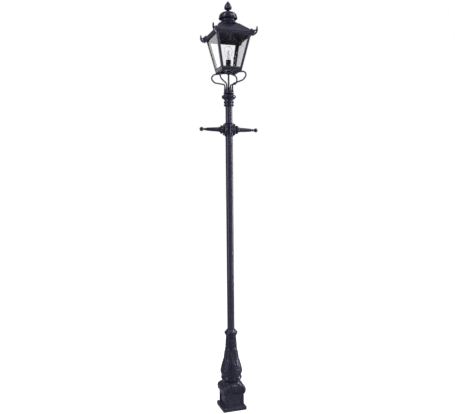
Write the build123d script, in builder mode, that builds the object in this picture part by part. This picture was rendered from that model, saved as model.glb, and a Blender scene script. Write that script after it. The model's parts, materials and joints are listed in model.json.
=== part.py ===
"""Victorian street lamp post: four-sided lantern on a cradle, ladder bars, steel tube and cast base.

Millimetres, +Z up. The origin is the middle of the foot's underside. +X runs along the right-hand
ladder bar and -Y is the front, the side with the access door of the base.
"""
from build123d import *
from math import cos, radians, sin, sqrt
import os

os.makedirs("parts", exist_ok=True)

# ---- driving dimensions: the post's parts from the foot up ---------------------------------------
PLINTH_H = 147.0          # underside of the foot to the plinth cap
CAP_H = 71.0              # square plinth cap
BELL_H = 391.0            # bell casting
POST_LONG = 1712.0        # top of the bell to the axis of the ladder bars
UPPER_LONG = 188.0        # axis of the ladder bars to the cast head
HEAD_H = 105.0            # cast head
CRADLE_H = 176.0          # top of the head to the lantern's underside
LANTERN_H = 274.0         # lantern's underside to the top of its corner bars
ROOF_H = 108.0            # top of the corner bars to the top of the hipped roof
CHIMNEY_H = 102.0         # top of the roof to the foot of the finial
FINIAL_H = 92.0           # foot of the finial to its tip

# ---- heights above the foot's underside ---------------------------------------------------------
CAP_Z = PLINTH_H
BELL_Z = CAP_Z + CAP_H
CROWN_Z = BELL_Z + BELL_H
LADDER_Z = CROWN_Z + POST_LONG
HEAD_Z = LADDER_Z + UPPER_LONG
SOCKET_Z = HEAD_Z + HEAD_H
TRAY_Z = SOCKET_Z + CRADLE_H
EAVE_Z = TRAY_Z + LANTERN_H
CURB_Z = EAVE_Z + ROOF_H
NECK_Z = CURB_Z + CHIMNEY_H
TIP_Z = NECK_Z + FINIAL_H

# ---- fits ---------------------------------------------------------------------------------------
RUN_FIT = 0.05            # radial clearance of a pin that turns in a hole
LEAF_GAP = 0.8            # gap round a door in its opening
TUBE_FIT = 0.1            # radial clearance of a tube in its socket

# ---- foot and plinth ----------------------------------------------------------------------------
PLINTH_HALF = 82.0
FOOT_LEDGE = 19.0         # foot's width outside the plinth
FOOT_THICK = 24.0
FOOT_ROUND = 12.0
ANCHOR_R = 6.0
ANCHOR_LAND = 1.0         # metal between an anchor hole and the plinth's wall
PLINTH_WALL = 11.0
PLINTH_ROUND = 4.0
PANEL_SIDE = 18.0         # plinth face each side of the arched panel
PANEL_SILL = 14.0         # plinth face below the panel, above the foot
PANEL_HEAD = 25.0         # plinth face above the crown of the panel
PANEL_ARCH = 22.0         # rise of the panel's arched head
PANEL_SHOULDER = 12.0     # flat part each side of the panel's arched head
PANEL_DEEP = 6.5
HATCH_SIDE = 16.0         # landing of the door each side of the plinth's opening
HATCH_SILL = 8.0          # landing of the door below the opening
HATCH_HEAD = 2.0          # landing of the door above the opening, below its shoulders

# ---- access door of the base --------------------------------------------------------------------
HATCH_PLATE = 4.0
HATCH_BARREL_R = 3.1
HATCH_PIN_R = 1.6
HATCH_PIN_SEAT = 7.0      # how far each pivot pin reaches into the door and into the plinth
LOCK_DROP = 20.0          # lock's axis below the head of the opening
LOCK_R = 8.0
LOCK_PROUD = 1.2
LOCK_CAM_REACH = 13.0     # lock's axis to the centre of its cam's round end
LOCK_CAM_THICK = 3.0
LOCK_CAM_WIDE = 9.0
KEY_SIDE = 8.0

# ---- plinth cap, bell and crown -----------------------------------------------------------------
CAP_BORE_IN = 16.0        # radius of the cap's bore, less than the plinth's inner half-width
BELL_IN = 5.0             # radius of the bell's foot, less than the plinth's half-width
BELL_WALL = 8.0
CROWN_H = 52.0

# ---- tubes --------------------------------------------------------------------------------------
TUBE_R = 30.15
TUBE_WALL = 4.0
TOP_TUBE_STEP = 1.65      # lower tube's radius less the upper tube's
TOP_TUBE_R = TUBE_R - TOP_TUBE_STEP
TOP_TUBE_WALL = 3.5
TUBE_SEAT = 110.0         # length of the lower tube inside the bell and crown
TOP_TUBE_SEAT = 24.0      # length of the upper tube inside the head
SPIGOT_WALL = 5.0
SPIGOT_LONG = 120.0

# ---- ladder hub and bars ------------------------------------------------------------------------
HUB_WALL = 8.0            # hub's sleeve round the lower tube
HUB_SLEEVE_H = 110.0
HUB_SHOULDER = 15.0       # hub's end face beyond the lower tube
HUB_CHEEK = 4.0           # hub's front face in front of the lower tube
HUB_HALF_Z = 46.0
NECK_R = 24.0             # neck between the hub and each collar
NECK_LONG = 11.0
COLLAR_R = 35.0
COLLAR_LONG = 20.0
ARM_ROOT_R = 20.0
ARM_TIP_R = 12.0
ARM_NECK_R = 7.5
ARM_LONG = 120.0          # collar to the bead behind the ball
BEAD_R = 10.5
BEAD_LONG = 20.0
ARM_SEAT = 8.0
BALL_R = 18.0
HUB_SCREW_R = 4.0
HUB_SCREW_Z = 28.0        # screw height above and below the bar axis
HUB_SCREW_PROUD = 5.0

# ---- head and cradle ----------------------------------------------------------------------------
CONDUIT_R = 7.5
CONDUIT_WALL = 2.0
CONDUIT_GAP = 4.0         # conduit's foot above the shoulder in the head
SOCKET_H = 10.0
SOCKET_RIM = 2.0          # socket's metal outside the leg holes
SOCKET_NECK_R = 13.0
SOCKET_NECK_H = 46.0
LEG_R = 6.0
LEG_ROOT_R = 35.0
LEG_RISE = 78.0           # straight root of a leg
LEG_OUT = 38.0            # leg's outermost reach beyond the lantern's lower corner
BOSS_R = 16.0
BOSS_H = 18.0
HEX_NUT_R = 12.5
NUT_H = 6.0

# ---- lantern ------------------------------------------------------------------------------------
TRAY_HALF = 84.0          # outside half-width of the lantern at TRAY_Z
TOP_HALF = 144.0          # outside half-width of the lantern at EAVE_Z
TRAY_BAND = 28.0
TRAY_WIDE = 20.0
BAR_WIDE = 18.0
BAR_THICK = 3.0
GLASS = 3.0
PANE_EDGE = 7.0           # pane's side edge, in from the outside corner
PANE_GAP = 2.0            # pane's end, above the bottom frame and below the eave frame
EAVE_H = 12.0
EAVE_IN = 14.0            # eave frame's width inside the corner bars' outer faces
EAVE_OUT = 15.0           # roof's edge beyond the corner bars' outer faces
CURB_HALF = 68.0
FASCIA_H = 16.0
FASCIA_LAP = 2.0          # fascia's lap down over the eave frame
SHEET = 2.5
LINING_IN = 6.0           # roof lining's edge inside the corner bars' outer faces
LINING_DROP = 26.0        # roof lining's top below the roof's top
LINING_TOP_HALF = 62.0

# ---- lantern door, on the back of the lantern ---------------------------------------------------
STILE = 12.0
STILE_THICK = 4.0
STILE_GAP = 1.0
HINGE_BACK = 5.0          # hinge axis, from the corner bar's inner edge back to the corner
HINGE_OFF = 4.5           # hinge axis, out from the face
HINGE_SHARE = 0.16        # outer end of each hinge, as a share of the door's height from its end
BARREL_R = 3.8
HINGE_PIN_R = 2.0
BARREL_LONG = 20.0
LUG_LONG = 9.0
LUG_GAP = 0.4
LEAF_THICK = 2.0
LEAF_LAND = 12.0          # door leaf's width beyond the corner bar's inner edge
KNOB_R = 8.0
KNOB_PROUD = 14.0
KNOB_ROUND = 3.0
KNOB_STEM_R = 3.0
CATCH_REACH = 11.0

# ---- roof ornaments, chimney and finial ---------------------------------------------------------
HORN_THICK = 16.0
HORN_HOLE_R = 6.0
HORN_HOLE_OUT = 18.0      # horn's eye, out from the roof's corner
HORN_HOLE_RISE = 20.0     # horn's eye above the corner bars' tops
HORN_LAP = 26.0           # horn's length on the roof's hip, measured level
SEAT_GAP = 0.2            # clearance of an ornament on its seat
DOME_OUT = 18.0           # radius of the dome's foot beyond the roof's curb
DOME_H = 26.0
VENT_R = 54.0
VENT_H = 32.0
VENT_WALL = 3.0
VENT_SLOTS = 16
VENT_SLOT_WIDE = 8.0
VENT_SLOT_H = 12.0
HOOD_R = 74.0
HOOD_RISE = 52.0          # hood's rim above the roof's top
HOOD_NECK_R = 22.0
HOOD_NECK_H = 3.0
HOOD_WALL = 7.0           # hood's depth at its neck
HOOD_ROLL_R = 4.5
STUD_R = 5.0
STUD_SEAT = 20.0          # stud's length inside the finial
FINIAL_R = 29.0

# ---- lamp ---------------------------------------------------------------------------------------
HOLDER_RISE = 30.0        # lampholder's foot above the lantern's underside
HOLDER_LOW_R = 17.0
HOLDER_LOW_H = 27.0
HOLDER_R = 21.5
HOLDER_H = 42.0
HOLDER_WALL = 2.5
HOLDER_FLOOR = 14.0
LAMP_CAP_R = 13.0
LAMP_CAP_H = 26.0
BULB_R = 32.0
BULB_LONG = 112.0
BULB_WALL = 1.0
FILAMENT_R = 0.6
FILAMENT_RING_R = 9.0
FILAMENT_SHARE = 0.7      # filaments' length as a share of the bulb's
FILAMENTS = 6

# ---- wiring in the base -------------------------------------------------------------------------
BOARD_HALF_X = 42.0
BOARD_FOOT = 24.0         # board's lower edge above the foot
BOARD_HEAD = 15.0         # board's upper edge below the plinth cap
BOARD_THICK = 6.0
BLOCK_HALF_X = 26.0
BLOCK_DEEP = 22.0
BLOCK_H = 40.0
BLOCK_ROUND = 2.5
CABLE_R = 3.0
CABLE_RISE = 14.0         # straight stretch above the terminal block
CABLE_GATHER = 94.0       # height above the bell's foot at which the cable reaches the post's axis
CABLE_STOP = 2.0          # cable's end below the lampholder
CABLE_BENDS = [48.0, 600.0]

LEAN = (TOP_HALF - TRAY_HALF) / (EAVE_Z - TRAY_Z)
BAR_FOOT_Z = TRAY_Z + TRAY_BAND


def lantern_half(z):
    """Outside half-width of the lantern's glazed body at a height."""
    return TRAY_HALF + LEAN * (z - TRAY_Z)


def save(piece, name):
    """Label a finished piece and write its STEP file."""
    piece.part.label = name
    export_step(piece.part, f"parts/{name}.step")


def profile(points, radius, z_low, z_high):
    """Outline points from pairs of an offset from a radius and a share of the height between levels."""
    return [(radius + offset, z_low + share * (z_high - z_low)) for offset, share in points]


def radial_plane(angle):
    """Upright plane through the axis: its x runs outwards at the angle, its y runs up."""
    turn = radians(angle)
    return Plane(origin=(0, 0, 0), x_dir=(cos(turn), sin(turn), 0), z_dir=(sin(turn), -cos(turn), 0))


def turned_plane(z, angle):
    """Level plane at a height, turned about the axis by an angle in degrees."""
    turn = radians(angle)
    return Plane(origin=(0, 0, z), x_dir=(cos(turn), sin(turn), 0), z_dir=(0, 0, 1))


def turned(outline, bore, smooth=False):
    """A piece turned about the axis from (radius, height) points, with a straight bore."""
    with BuildPart() as piece:
        with BuildSketch(Plane.XZ):
            with BuildLine():
                edge = Spline(*outline) if smooth else Polyline(*outline)
                Polyline(edge @ 1, (bore, outline[-1][1]), (bore, outline[0][1]), edge @ 0)
            make_face()
        revolve(axis=Axis.Z)
    return piece


def tube(z_low, z_high, outer, wall):
    """A plain round tube on the axis."""
    with BuildPart() as piece:
        with BuildSketch(Plane.XY.offset(z_low)):
            Circle(outer)
            Circle(outer - wall, mode=Mode.SUBTRACT)
        extrude(amount=z_high - z_low)
    return piece


def hopper(low, high):
    """Straight-sided square solid between two (height, half-width) levels."""
    with BuildPart() as piece:
        for z, half in (low, high):
            with BuildSketch(Plane.XY.offset(z)):
                Rectangle(2 * half, 2 * half)
        loft(ruled=True)
    return piece.part


# ================================ foot, plinth and its door =======================================
FOOT_HALF = PLINTH_HALF + FOOT_LEDGE
PANEL_HALF = PLINTH_HALF - PANEL_SIDE
PANEL_FOOT_Z = FOOT_THICK + PANEL_SILL
PANEL_CROWN_Z = PLINTH_H - PANEL_HEAD
PANEL_SHOULDER_Z = PANEL_CROWN_Z - PANEL_ARCH
HATCH_HALF = PANEL_HALF - HATCH_SIDE
HATCH_FOOT_Z = PANEL_FOOT_Z + HATCH_SILL
HATCH_HEAD_Z = PANEL_SHOULDER_Z - HATCH_HEAD
LOCK_Z = HATCH_HEAD_Z - LOCK_DROP
ANCHOR_SPACING = 2 * (PLINTH_HALF + ANCHOR_LAND + ANCHOR_R)


def arched_panel(inset):
    """Arched panel with flat shoulders, its outline drawn in from the recess's edge by inset."""
    half = PANEL_HALF - inset
    spring = half - PANEL_SHOULDER
    shoulder = PANEL_SHOULDER_Z - inset
    foot = PANEL_FOOT_Z + inset
    with BuildSketch() as panel:
        with BuildLine():
            Polyline((spring, shoulder), (half, shoulder), (half, foot), (-half, foot),
                     (-half, shoulder), (-spring, shoulder))
            ThreePointArc((-spring, shoulder), (0, PANEL_CROWN_Z - inset), (spring, shoulder))
        make_face()
    return panel.sketch


FACE = -PLINTH_HALF
BARREL_X = -(PANEL_HALF - LEAF_GAP - HATCH_BARREL_R)
BARREL_Y = FACE + HATCH_BARREL_R - 0.1
PLATE_BACK_Y = FACE + PANEL_DEEP - LEAF_GAP / 2

with BuildPart() as plinth:
    with BuildSketch():
        RectangleRounded(2 * FOOT_HALF, 2 * FOOT_HALF, FOOT_ROUND)
    extrude(amount=FOOT_THICK)
    with BuildSketch():
        RectangleRounded(2 * PLINTH_HALF, 2 * PLINTH_HALF, PLINTH_ROUND)
    extrude(amount=CAP_Z)
    with BuildSketch():
        Rectangle(2 * (PLINTH_HALF - PLINTH_WALL), 2 * (PLINTH_HALF - PLINTH_WALL))
    extrude(amount=CAP_Z, mode=Mode.SUBTRACT)
    with Locations((0, 0, FOOT_THICK)):
        with GridLocations(ANCHOR_SPACING, ANCHOR_SPACING, 2, 2):
            Hole(ANCHOR_R, depth=FOOT_THICK)
    for quarter in range(4):
        upright = radial_plane(90 * quarter)
        face = Plane(origin=upright.z_dir * PLINTH_HALF, x_dir=upright.x_dir, z_dir=upright.z_dir)
        with BuildSketch(face):
            add(arched_panel(0))
        extrude(amount=-PANEL_DEEP, mode=Mode.SUBTRACT)
    with BuildSketch(Plane.XZ.offset(PLINTH_HALF)):
        with Locations((0, (HATCH_FOOT_Z + HATCH_HEAD_Z) / 2)):
            Rectangle(2 * HATCH_HALF, HATCH_HEAD_Z - HATCH_FOOT_Z)
    extrude(amount=-PLINTH_WALL, mode=Mode.SUBTRACT)
    for end_z in (PANEL_FOOT_Z, PANEL_SHOULDER_Z):
        with BuildSketch(Plane.XY.offset(end_z - HATCH_PIN_SEAT)):
            with Locations((BARREL_X, BARREL_Y)):
                Circle(HATCH_PIN_R)
        extrude(amount=2 * HATCH_PIN_SEAT, mode=Mode.SUBTRACT)
save(plinth, "plinth")

with BuildPart() as access_door:
    with BuildSketch(Plane.XZ.offset(-PLATE_BACK_Y)):
        add(arched_panel(LEAF_GAP))
    extrude(amount=HATCH_PLATE)
    barrel_foot = PANEL_FOOT_Z + LEAF_GAP
    barrel_top = PANEL_SHOULDER_Z - LEAF_GAP
    with BuildSketch(Plane.XY.offset(barrel_foot)):
        with Locations((BARREL_X - HATCH_BARREL_R / 2, BARREL_Y)):
            Rectangle(HATCH_BARREL_R, 2 * HATCH_BARREL_R)
    extrude(amount=barrel_top - barrel_foot, mode=Mode.SUBTRACT)
    with BuildSketch(Plane.XY.offset(barrel_foot)):
        with Locations((BARREL_X, BARREL_Y)):
            Circle(HATCH_BARREL_R)
    extrude(amount=barrel_top - barrel_foot)
    with BuildSketch(Plane.XY.offset(barrel_foot)):
        with Locations((BARREL_X, BARREL_Y)):
            Circle(HATCH_PIN_R + RUN_FIT)
    extrude(amount=HATCH_PIN_SEAT, mode=Mode.SUBTRACT)
    with BuildSketch(Plane.XY.offset(barrel_top)):
        with Locations((BARREL_X, BARREL_Y)):
            Circle(HATCH_PIN_R + RUN_FIT)
    extrude(amount=-HATCH_PIN_SEAT, mode=Mode.SUBTRACT)
    with BuildSketch(Plane.XZ.offset(PLINTH_HALF)):
        with Locations((0, LOCK_Z)):
            Circle(LOCK_R + RUN_FIT)
    extrude(amount=-PLINTH_WALL, mode=Mode.SUBTRACT)
save(access_door, "access_door")

with BuildPart() as door_pivots:
    for end_z in (PANEL_FOOT_Z, PANEL_SHOULDER_Z):
        with BuildSketch(Plane.XY.offset(end_z - HATCH_PIN_SEAT + LEAF_GAP)):
            with Locations((BARREL_X, BARREL_Y)):
                Circle(HATCH_PIN_R)
        extrude(amount=2 * (HATCH_PIN_SEAT - LEAF_GAP))
save(door_pivots, "access_door_pivots")

PLATE_FRONT_Y = PLATE_BACK_Y - HATCH_PLATE
with BuildPart() as lock:
    with BuildSketch(Plane.XZ.offset(-PLATE_FRONT_Y + LOCK_PROUD)):
        with Locations((0, LOCK_Z)):
            Circle(LOCK_R)
    extrude(amount=-(HATCH_PLATE + LOCK_PROUD + LEAF_GAP))
    with BuildSketch(Plane.XZ.offset(-PLATE_FRONT_Y + LOCK_PROUD)):
        with Locations((0, LOCK_Z)):
            RegularPolygon(KEY_SIDE / 2, 3)
    extrude(amount=-HATCH_PLATE, mode=Mode.SUBTRACT)
    with BuildSketch(Plane.XZ.offset(-PLATE_BACK_Y - LEAF_GAP)):
        with Locations((0, LOCK_Z)):
            SlotCenterPoint((0, LOCK_CAM_REACH / 2), (0, 0), LOCK_CAM_WIDE, rotation=0)
    extrude(amount=-LOCK_CAM_THICK)
save(lock, "access_lock")

# ================================ wiring in the base ==============================================
INNER_HALF = PLINTH_HALF - PLINTH_WALL
BOARD_LOW_Z = FOOT_THICK + BOARD_FOOT
BOARD_TOP_Z = CAP_Z - BOARD_HEAD
BOARD_Z = (BOARD_LOW_Z + BOARD_TOP_Z) / 2
BLOCK_Z = BOARD_Z - BLOCK_H / 2
with BuildPart() as backboard:
    with BuildSketch(Plane.XZ.offset(-INNER_HALF)):
        with Locations((0, BOARD_Z)):
            Rectangle(2 * BOARD_HALF_X, BOARD_TOP_Z - BOARD_LOW_Z)
    extrude(amount=BOARD_THICK)
save(backboard, "wiring_backboard")

BLOCK_Y = INNER_HALF - BOARD_THICK - BLOCK_DEEP / 2
with BuildPart() as terminal_block:
    with BuildSketch(Plane.XY.offset(BLOCK_Z)):
        with Locations((0, BLOCK_Y)):
            Rectangle(2 * BLOCK_HALF_X, BLOCK_DEEP)
    extrude(amount=BLOCK_H)
    fillet(terminal_block.edges().filter_by(Axis.Z).group_by(Axis.Y)[0], BLOCK_ROUND)
save(terminal_block, "terminal_block")

HOLDER_Z = TRAY_Z + HOLDER_RISE
CABLE_TOP_Z = HOLDER_Z - CABLE_STOP
CABLE_CENTRE_Z = BELL_Z + CABLE_GATHER
with BuildPart() as cable:
    with BuildLine(Plane.YZ):
        route = FilletPolyline((BLOCK_Y, BLOCK_Z + BLOCK_H), (BLOCK_Y, BLOCK_Z + BLOCK_H + CABLE_RISE),
                               (0, CABLE_CENTRE_Z), (0, CABLE_TOP_Z), radius=CABLE_BENDS)
    with BuildSketch(Plane(origin=route @ 0, z_dir=route % 0)):
        Circle(CABLE_R)
    sweep()
save(cable, "supply_cable")

# ================================ base castings ===================================================
CAP_BORE_R = INNER_HALF - CAP_BORE_IN
CAP_SHAPE = ((0, 3, 10), (0.13, 10, 16), (0.35, 12, 20), (0.62, 8, 24), (0.86, -2, 34), (1, -4, 56))
with BuildPart() as plinth_cap:
    for share, beyond, corner in CAP_SHAPE:
        with BuildSketch(Plane.XY.offset(CAP_Z + share * CAP_H)):
            RectangleRounded(2 * (PLINTH_HALF + beyond), 2 * (PLINTH_HALF + beyond), corner)
    loft()
    with BuildSketch(Plane.XY.offset(CAP_Z)):
        Circle(CAP_BORE_R)
    extrude(amount=CAP_H, mode=Mode.SUBTRACT)
save(plinth_cap, "plinth_cap")

BELL_R = PLINTH_HALF - BELL_IN
BELL_LOWER = [(0, 0), (-3, 0.018), (-1, 0.038), (5, 0.061), (9, 0.087), (8, 0.118), (4, 0.143),
              (5, 0.169), (9, 0.21), (11, 0.24), (8, 0.29), (2, 0.355), (-6, 0.425)]
BELL_UPPER = [(32, 0.496), (27, 0.573), (22, 0.662), (19, 0.752), (17, 0.841), (14, 0.936), (14, 1)]
BELL_BORE = [(BELL_R - BELL_WALL, BELL_Z), (BELL_R - 0.5 * BELL_WALL, BELL_Z + 0.24 * BELL_H),
             (TUBE_R + BELL_WALL, BELL_Z + 0.6 * BELL_H),
             (TUBE_R + TUBE_FIT, CROWN_Z + CROWN_H - TUBE_SEAT), (TUBE_R + TUBE_FIT, CROWN_Z)]
with BuildPart() as bell:
    with BuildSketch(Plane.XZ):
        with BuildLine():
            outside = Spline(*profile(BELL_LOWER, BELL_R, BELL_Z, CROWN_Z),
                             *profile(BELL_UPPER, TUBE_R, BELL_Z, CROWN_Z))
            inside = Polyline(*BELL_BORE)
            Line(outside @ 1, inside @ 1)
            Line(outside @ 0, inside @ 0)
        make_face()
    revolve(axis=Axis.Z)
save(bell, "bell_casting")

CROWN_TOP_Z = CROWN_Z + CROWN_H
CROWN_SHAPE = [(14, 0), (18, 0.15), (23, 0.29), (25, 0.44), (23, 0.6), (17, 0.71), (12, 0.83), (4, 1)]
crown = turned(profile(CROWN_SHAPE, TUBE_R, CROWN_Z, CROWN_TOP_Z), TUBE_R + TUBE_FIT, smooth=True)
save(crown, "bell_crown")

# ================================ tubes ===========================================================
save(tube(CROWN_TOP_Z - TUBE_SEAT, LADDER_Z, TUBE_R, TUBE_WALL), "lower_tube")
save(tube(LADDER_Z, HEAD_Z + TOP_TUBE_SEAT, TOP_TUBE_R, TOP_TUBE_WALL), "upper_tube")
SPIGOT_R = TOP_TUBE_R - TOP_TUBE_WALL - TUBE_FIT
save(tube(LADDER_Z - SPIGOT_LONG / 2, LADDER_Z + SPIGOT_LONG / 2, SPIGOT_R, SPIGOT_WALL), "tube_spigot")

# ================================ ladder hub and bars =============================================
HUB_SLEEVE_R = TUBE_R + HUB_WALL
HUB_HALF_X = TUBE_R + HUB_SHOULDER
HUB_HALF_Y = TUBE_R + HUB_CHEEK
with BuildPart() as hub:
    with BuildSketch(Plane.XY.offset(LADDER_Z - HUB_SLEEVE_H / 2)):
        Circle(HUB_SLEEVE_R)
    extrude(amount=HUB_SLEEVE_H)
    chamfer(hub.faces().filter_by(Axis.Z).edges(), HUB_WALL / 2)
    with BuildSketch(Plane.YZ.offset(-HUB_HALF_X)):
        with Locations((0, LADDER_Z)):
            RectangleRounded(2 * HUB_HALF_Y, 2 * HUB_HALF_Z, HUB_HALF_Y / 2)
    extrude(amount=2 * HUB_HALF_X)
    with BuildSketch(Plane.XY.offset(LADDER_Z - HUB_SLEEVE_H / 2)):
        Circle(TUBE_R + TUBE_FIT)
    extrude(amount=HUB_SLEEVE_H / 2, mode=Mode.SUBTRACT)
    with BuildSketch(Plane.XY.offset(LADDER_Z)):
        Circle(TOP_TUBE_R + TUBE_FIT)
    extrude(amount=HUB_SLEEVE_H / 2, mode=Mode.SUBTRACT)
    for side in (-1, 1):
        with BuildSketch(Plane.YZ.offset(side * HUB_HALF_X)):
            with Locations((0, LADDER_Z)):
                Circle(ARM_NECK_R)
        extrude(amount=-side * ARM_SEAT, mode=Mode.SUBTRACT)
    for side in (-1, 1):
        with BuildSketch(Plane.XZ):
            with Locations((0, LADDER_Z + side * HUB_SCREW_Z)):
                Circle(HUB_SCREW_R)
        extrude(amount=-HUB_SLEEVE_R, mode=Mode.SUBTRACT)
save(hub, "ladder_hub")

with BuildPart() as hub_screws:
    for side, seat_r in ((-1, TUBE_R), (1, TOP_TUBE_R)):
        with BuildSketch(Plane.XZ.offset(-HUB_SLEEVE_R - HUB_SCREW_PROUD)):
            with Locations((0, LADDER_Z + side * HUB_SCREW_Z)):
                Circle(HUB_SCREW_R)
        extrude(amount=HUB_SLEEVE_R + HUB_SCREW_PROUD - seat_r - TUBE_FIT)
save(hub_screws, "hub_set_screws")

BAR_AXIS = Axis((0, 0, LADDER_Z), (1, 0, 0))
COLLAR_X = HUB_HALF_X + NECK_LONG
ROOT_X = COLLAR_X + COLLAR_LONG
BEAD_X = ROOT_X + ARM_LONG
BALL_X = BEAD_X + BEAD_LONG + BALL_R
for side, name in ((-1, "left"), (1, "right")):
    bar_plane = Plane(origin=(0, 0, LADDER_Z), x_dir=(side, 0, 0), z_dir=(0, -side, 0))
    with BuildPart() as collar:
        with BuildSketch(bar_plane):
            with BuildLine():
                rim = Polyline((HUB_HALF_X, NECK_R), (COLLAR_X, NECK_R), (COLLAR_X + 3, COLLAR_R),
                               (ROOT_X - 4, COLLAR_R), (ROOT_X, COLLAR_R - 6), (ROOT_X, ARM_NECK_R))
                Polyline(rim @ 1, (HUB_HALF_X, ARM_NECK_R), rim @ 0)
            make_face()
        revolve(axis=BAR_AXIS)
    save(collar, f"bar_collar_{name}")

    with BuildPart() as arm:
        with BuildSketch(bar_plane):
            with BuildLine():
                edge = Polyline((HUB_HALF_X - ARM_SEAT, ARM_NECK_R), (ROOT_X, ARM_NECK_R),
                                (ROOT_X, ARM_ROOT_R), (ROOT_X + 10, ARM_ROOT_R + 1),
                                (ROOT_X + 16, ARM_ROOT_R - 2), (BEAD_X - 3, ARM_TIP_R),
                                (BEAD_X, ARM_NECK_R), (BEAD_X + 5, ARM_NECK_R),
                                (BEAD_X + 8, BEAD_R), (BEAD_X + 14, BEAD_R),
                                (BEAD_X + 17, ARM_NECK_R), (BALL_X, ARM_NECK_R))
                Polyline(edge @ 1, (BALL_X, 0), (HUB_HALF_X - ARM_SEAT, 0), edge @ 0)
            make_face()
        revolve(axis=BAR_AXIS)
    save(arm, f"ladder_bar_{name}")

    with BuildPart() as ball:
        with BuildSketch(bar_plane):
            with BuildLine():
                ThreePointArc((BALL_X + BALL_R, 0), (BALL_X, BALL_R), (BALL_X - BALL_R, 0))
                Line((BALL_X - BALL_R, 0), (BALL_X + BALL_R, 0))
            make_face()
        revolve(axis=BAR_AXIS)
        with BuildSketch(Plane.YZ):
            with Locations((0, LADDER_Z)):
                Circle(ARM_NECK_R)
        extrude(amount=side * BALL_X, mode=Mode.SUBTRACT)
    save(ball, f"bar_ball_{name}")

# ================================ head, cradle and conduit ========================================
HEAD_SHAPE = [(1.5, 0), (10, 0.05), (14, 0.1), (9, 0.19), (8.5, 0.24), (14, 0.33), (9, 0.42),
              (9, 0.52), (18, 0.6), (28, 0.68), (30, 0.75), (28, 0.83), (18, 0.9), (9, 0.96), (8, 1)]
CONDUIT_BORE_R = CONDUIT_R + TUBE_FIT
with BuildPart() as head:
    with BuildSketch(Plane.XZ):
        with BuildLine():
            outside = Spline(*profile(HEAD_SHAPE, TOP_TUBE_R, HEAD_Z, SOCKET_Z))
            Polyline(outside @ 1, (CONDUIT_BORE_R, SOCKET_Z), (CONDUIT_BORE_R, HEAD_Z + TOP_TUBE_SEAT),
                     (TOP_TUBE_R + TUBE_FIT, HEAD_Z + TOP_TUBE_SEAT), (TOP_TUBE_R + TUBE_FIT, HEAD_Z),
                     outside @ 0)
        make_face()
    revolve(axis=Axis.Z)
save(head, "head_casting")

with BuildPart() as socket:
    with BuildSketch(Plane.XY.offset(SOCKET_Z)):
        Circle(LEG_ROOT_R + LEG_R + SOCKET_RIM)
        Circle(CONDUIT_BORE_R, mode=Mode.SUBTRACT)
        with PolarLocations(LEG_ROOT_R, 4, start_angle=45):
            Circle(LEG_R + TUBE_FIT, mode=Mode.SUBTRACT)
    extrude(amount=SOCKET_H)
    with BuildSketch(Plane.XY.offset(SOCKET_Z + SOCKET_H)):
        Circle(SOCKET_NECK_R)
        Circle(CONDUIT_BORE_R, mode=Mode.SUBTRACT)
    extrude(amount=SOCKET_NECK_H - SOCKET_H)
save(socket, "cradle_socket")

CRADLE_Z = TRAY_Z - LEG_R
LEG_OUT_R = TRAY_HALF * sqrt(2) + LEG_OUT
CORNERS = {"right_back": 45, "left_back": 135, "left_front": 225, "right_front": 315}
for name, angle in CORNERS.items():
    upright = radial_plane(angle)
    with BuildPart() as leg:
        with BuildLine(upright):
            route = FilletPolyline((LEG_ROOT_R, SOCKET_Z), (LEG_ROOT_R, SOCKET_Z + LEG_RISE),
                                   (LEG_OUT_R - 26, SOCKET_Z + LEG_RISE + 24),
                                   (LEG_OUT_R, SOCKET_Z + LEG_RISE + 52), (LEG_OUT_R, CRADLE_Z - 16),
                                   (LEG_OUT_R - 22, CRADLE_Z), (BOSS_R, CRADLE_Z),
                                   radius=[18, 36, 26, 21, 20])
        with BuildSketch(Plane(origin=route @ 0, z_dir=route % 0)):
            Circle(LEG_R)
        sweep()
    save(leg, f"cradle_leg_{name}")

with BuildPart() as boss:
    with BuildSketch(Plane.XY.offset(CRADLE_Z - BOSS_H / 2)):
        Circle(BOSS_R)
        Circle(CONDUIT_BORE_R, mode=Mode.SUBTRACT)
    extrude(amount=BOSS_H)
save(boss, "cradle_boss")

save(tube(HEAD_Z + TOP_TUBE_SEAT + CONDUIT_GAP, HOLDER_Z, CONDUIT_R, CONDUIT_WALL), "conduit")

with BuildPart() as conduit_nuts:
    for low in (CRADLE_Z + BOSS_H / 2, CRADLE_Z - BOSS_H / 2 - NUT_H, SOCKET_Z + SOCKET_NECK_H):
        with BuildSketch(Plane.XY.offset(low)):
            RegularPolygon(HEX_NUT_R, 6)
            Circle(CONDUIT_BORE_R, mode=Mode.SUBTRACT)
        extrude(amount=NUT_H)
save(conduit_nuts, "conduit_nuts")

# ================================ lantern body ====================================================
tray_outside = hopper((TRAY_Z, TRAY_HALF), (BAR_FOOT_Z, lantern_half(BAR_FOOT_Z)))
tray_inside = hopper((TRAY_Z, TRAY_HALF - TRAY_WIDE), (BAR_FOOT_Z, lantern_half(BAR_FOOT_Z) - TRAY_WIDE))
with BuildPart() as tray:
    add(tray_outside)
    add(tray_inside, mode=Mode.SUBTRACT)
save(tray, "lantern_bottom_frame")


QUARTERS = {"right_back": 0, "left_back": 90, "left_front": 180, "right_front": 270}
for name, turn in QUARTERS.items():
    with BuildPart() as bar:
        for z in (BAR_FOOT_Z, EAVE_Z):
            half = lantern_half(z)
            inner = half - BAR_THICK
            tip = half - BAR_WIDE
            with BuildSketch(turned_plane(z, turn)):
                with BuildLine():
                    Polyline((half, half), (tip, half), (tip, inner), (inner, inner), (inner, tip),
                             (half, tip), close=True)
                make_face()
        loft(ruled=True)
    save(bar, f"corner_bar_{name}")


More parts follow.
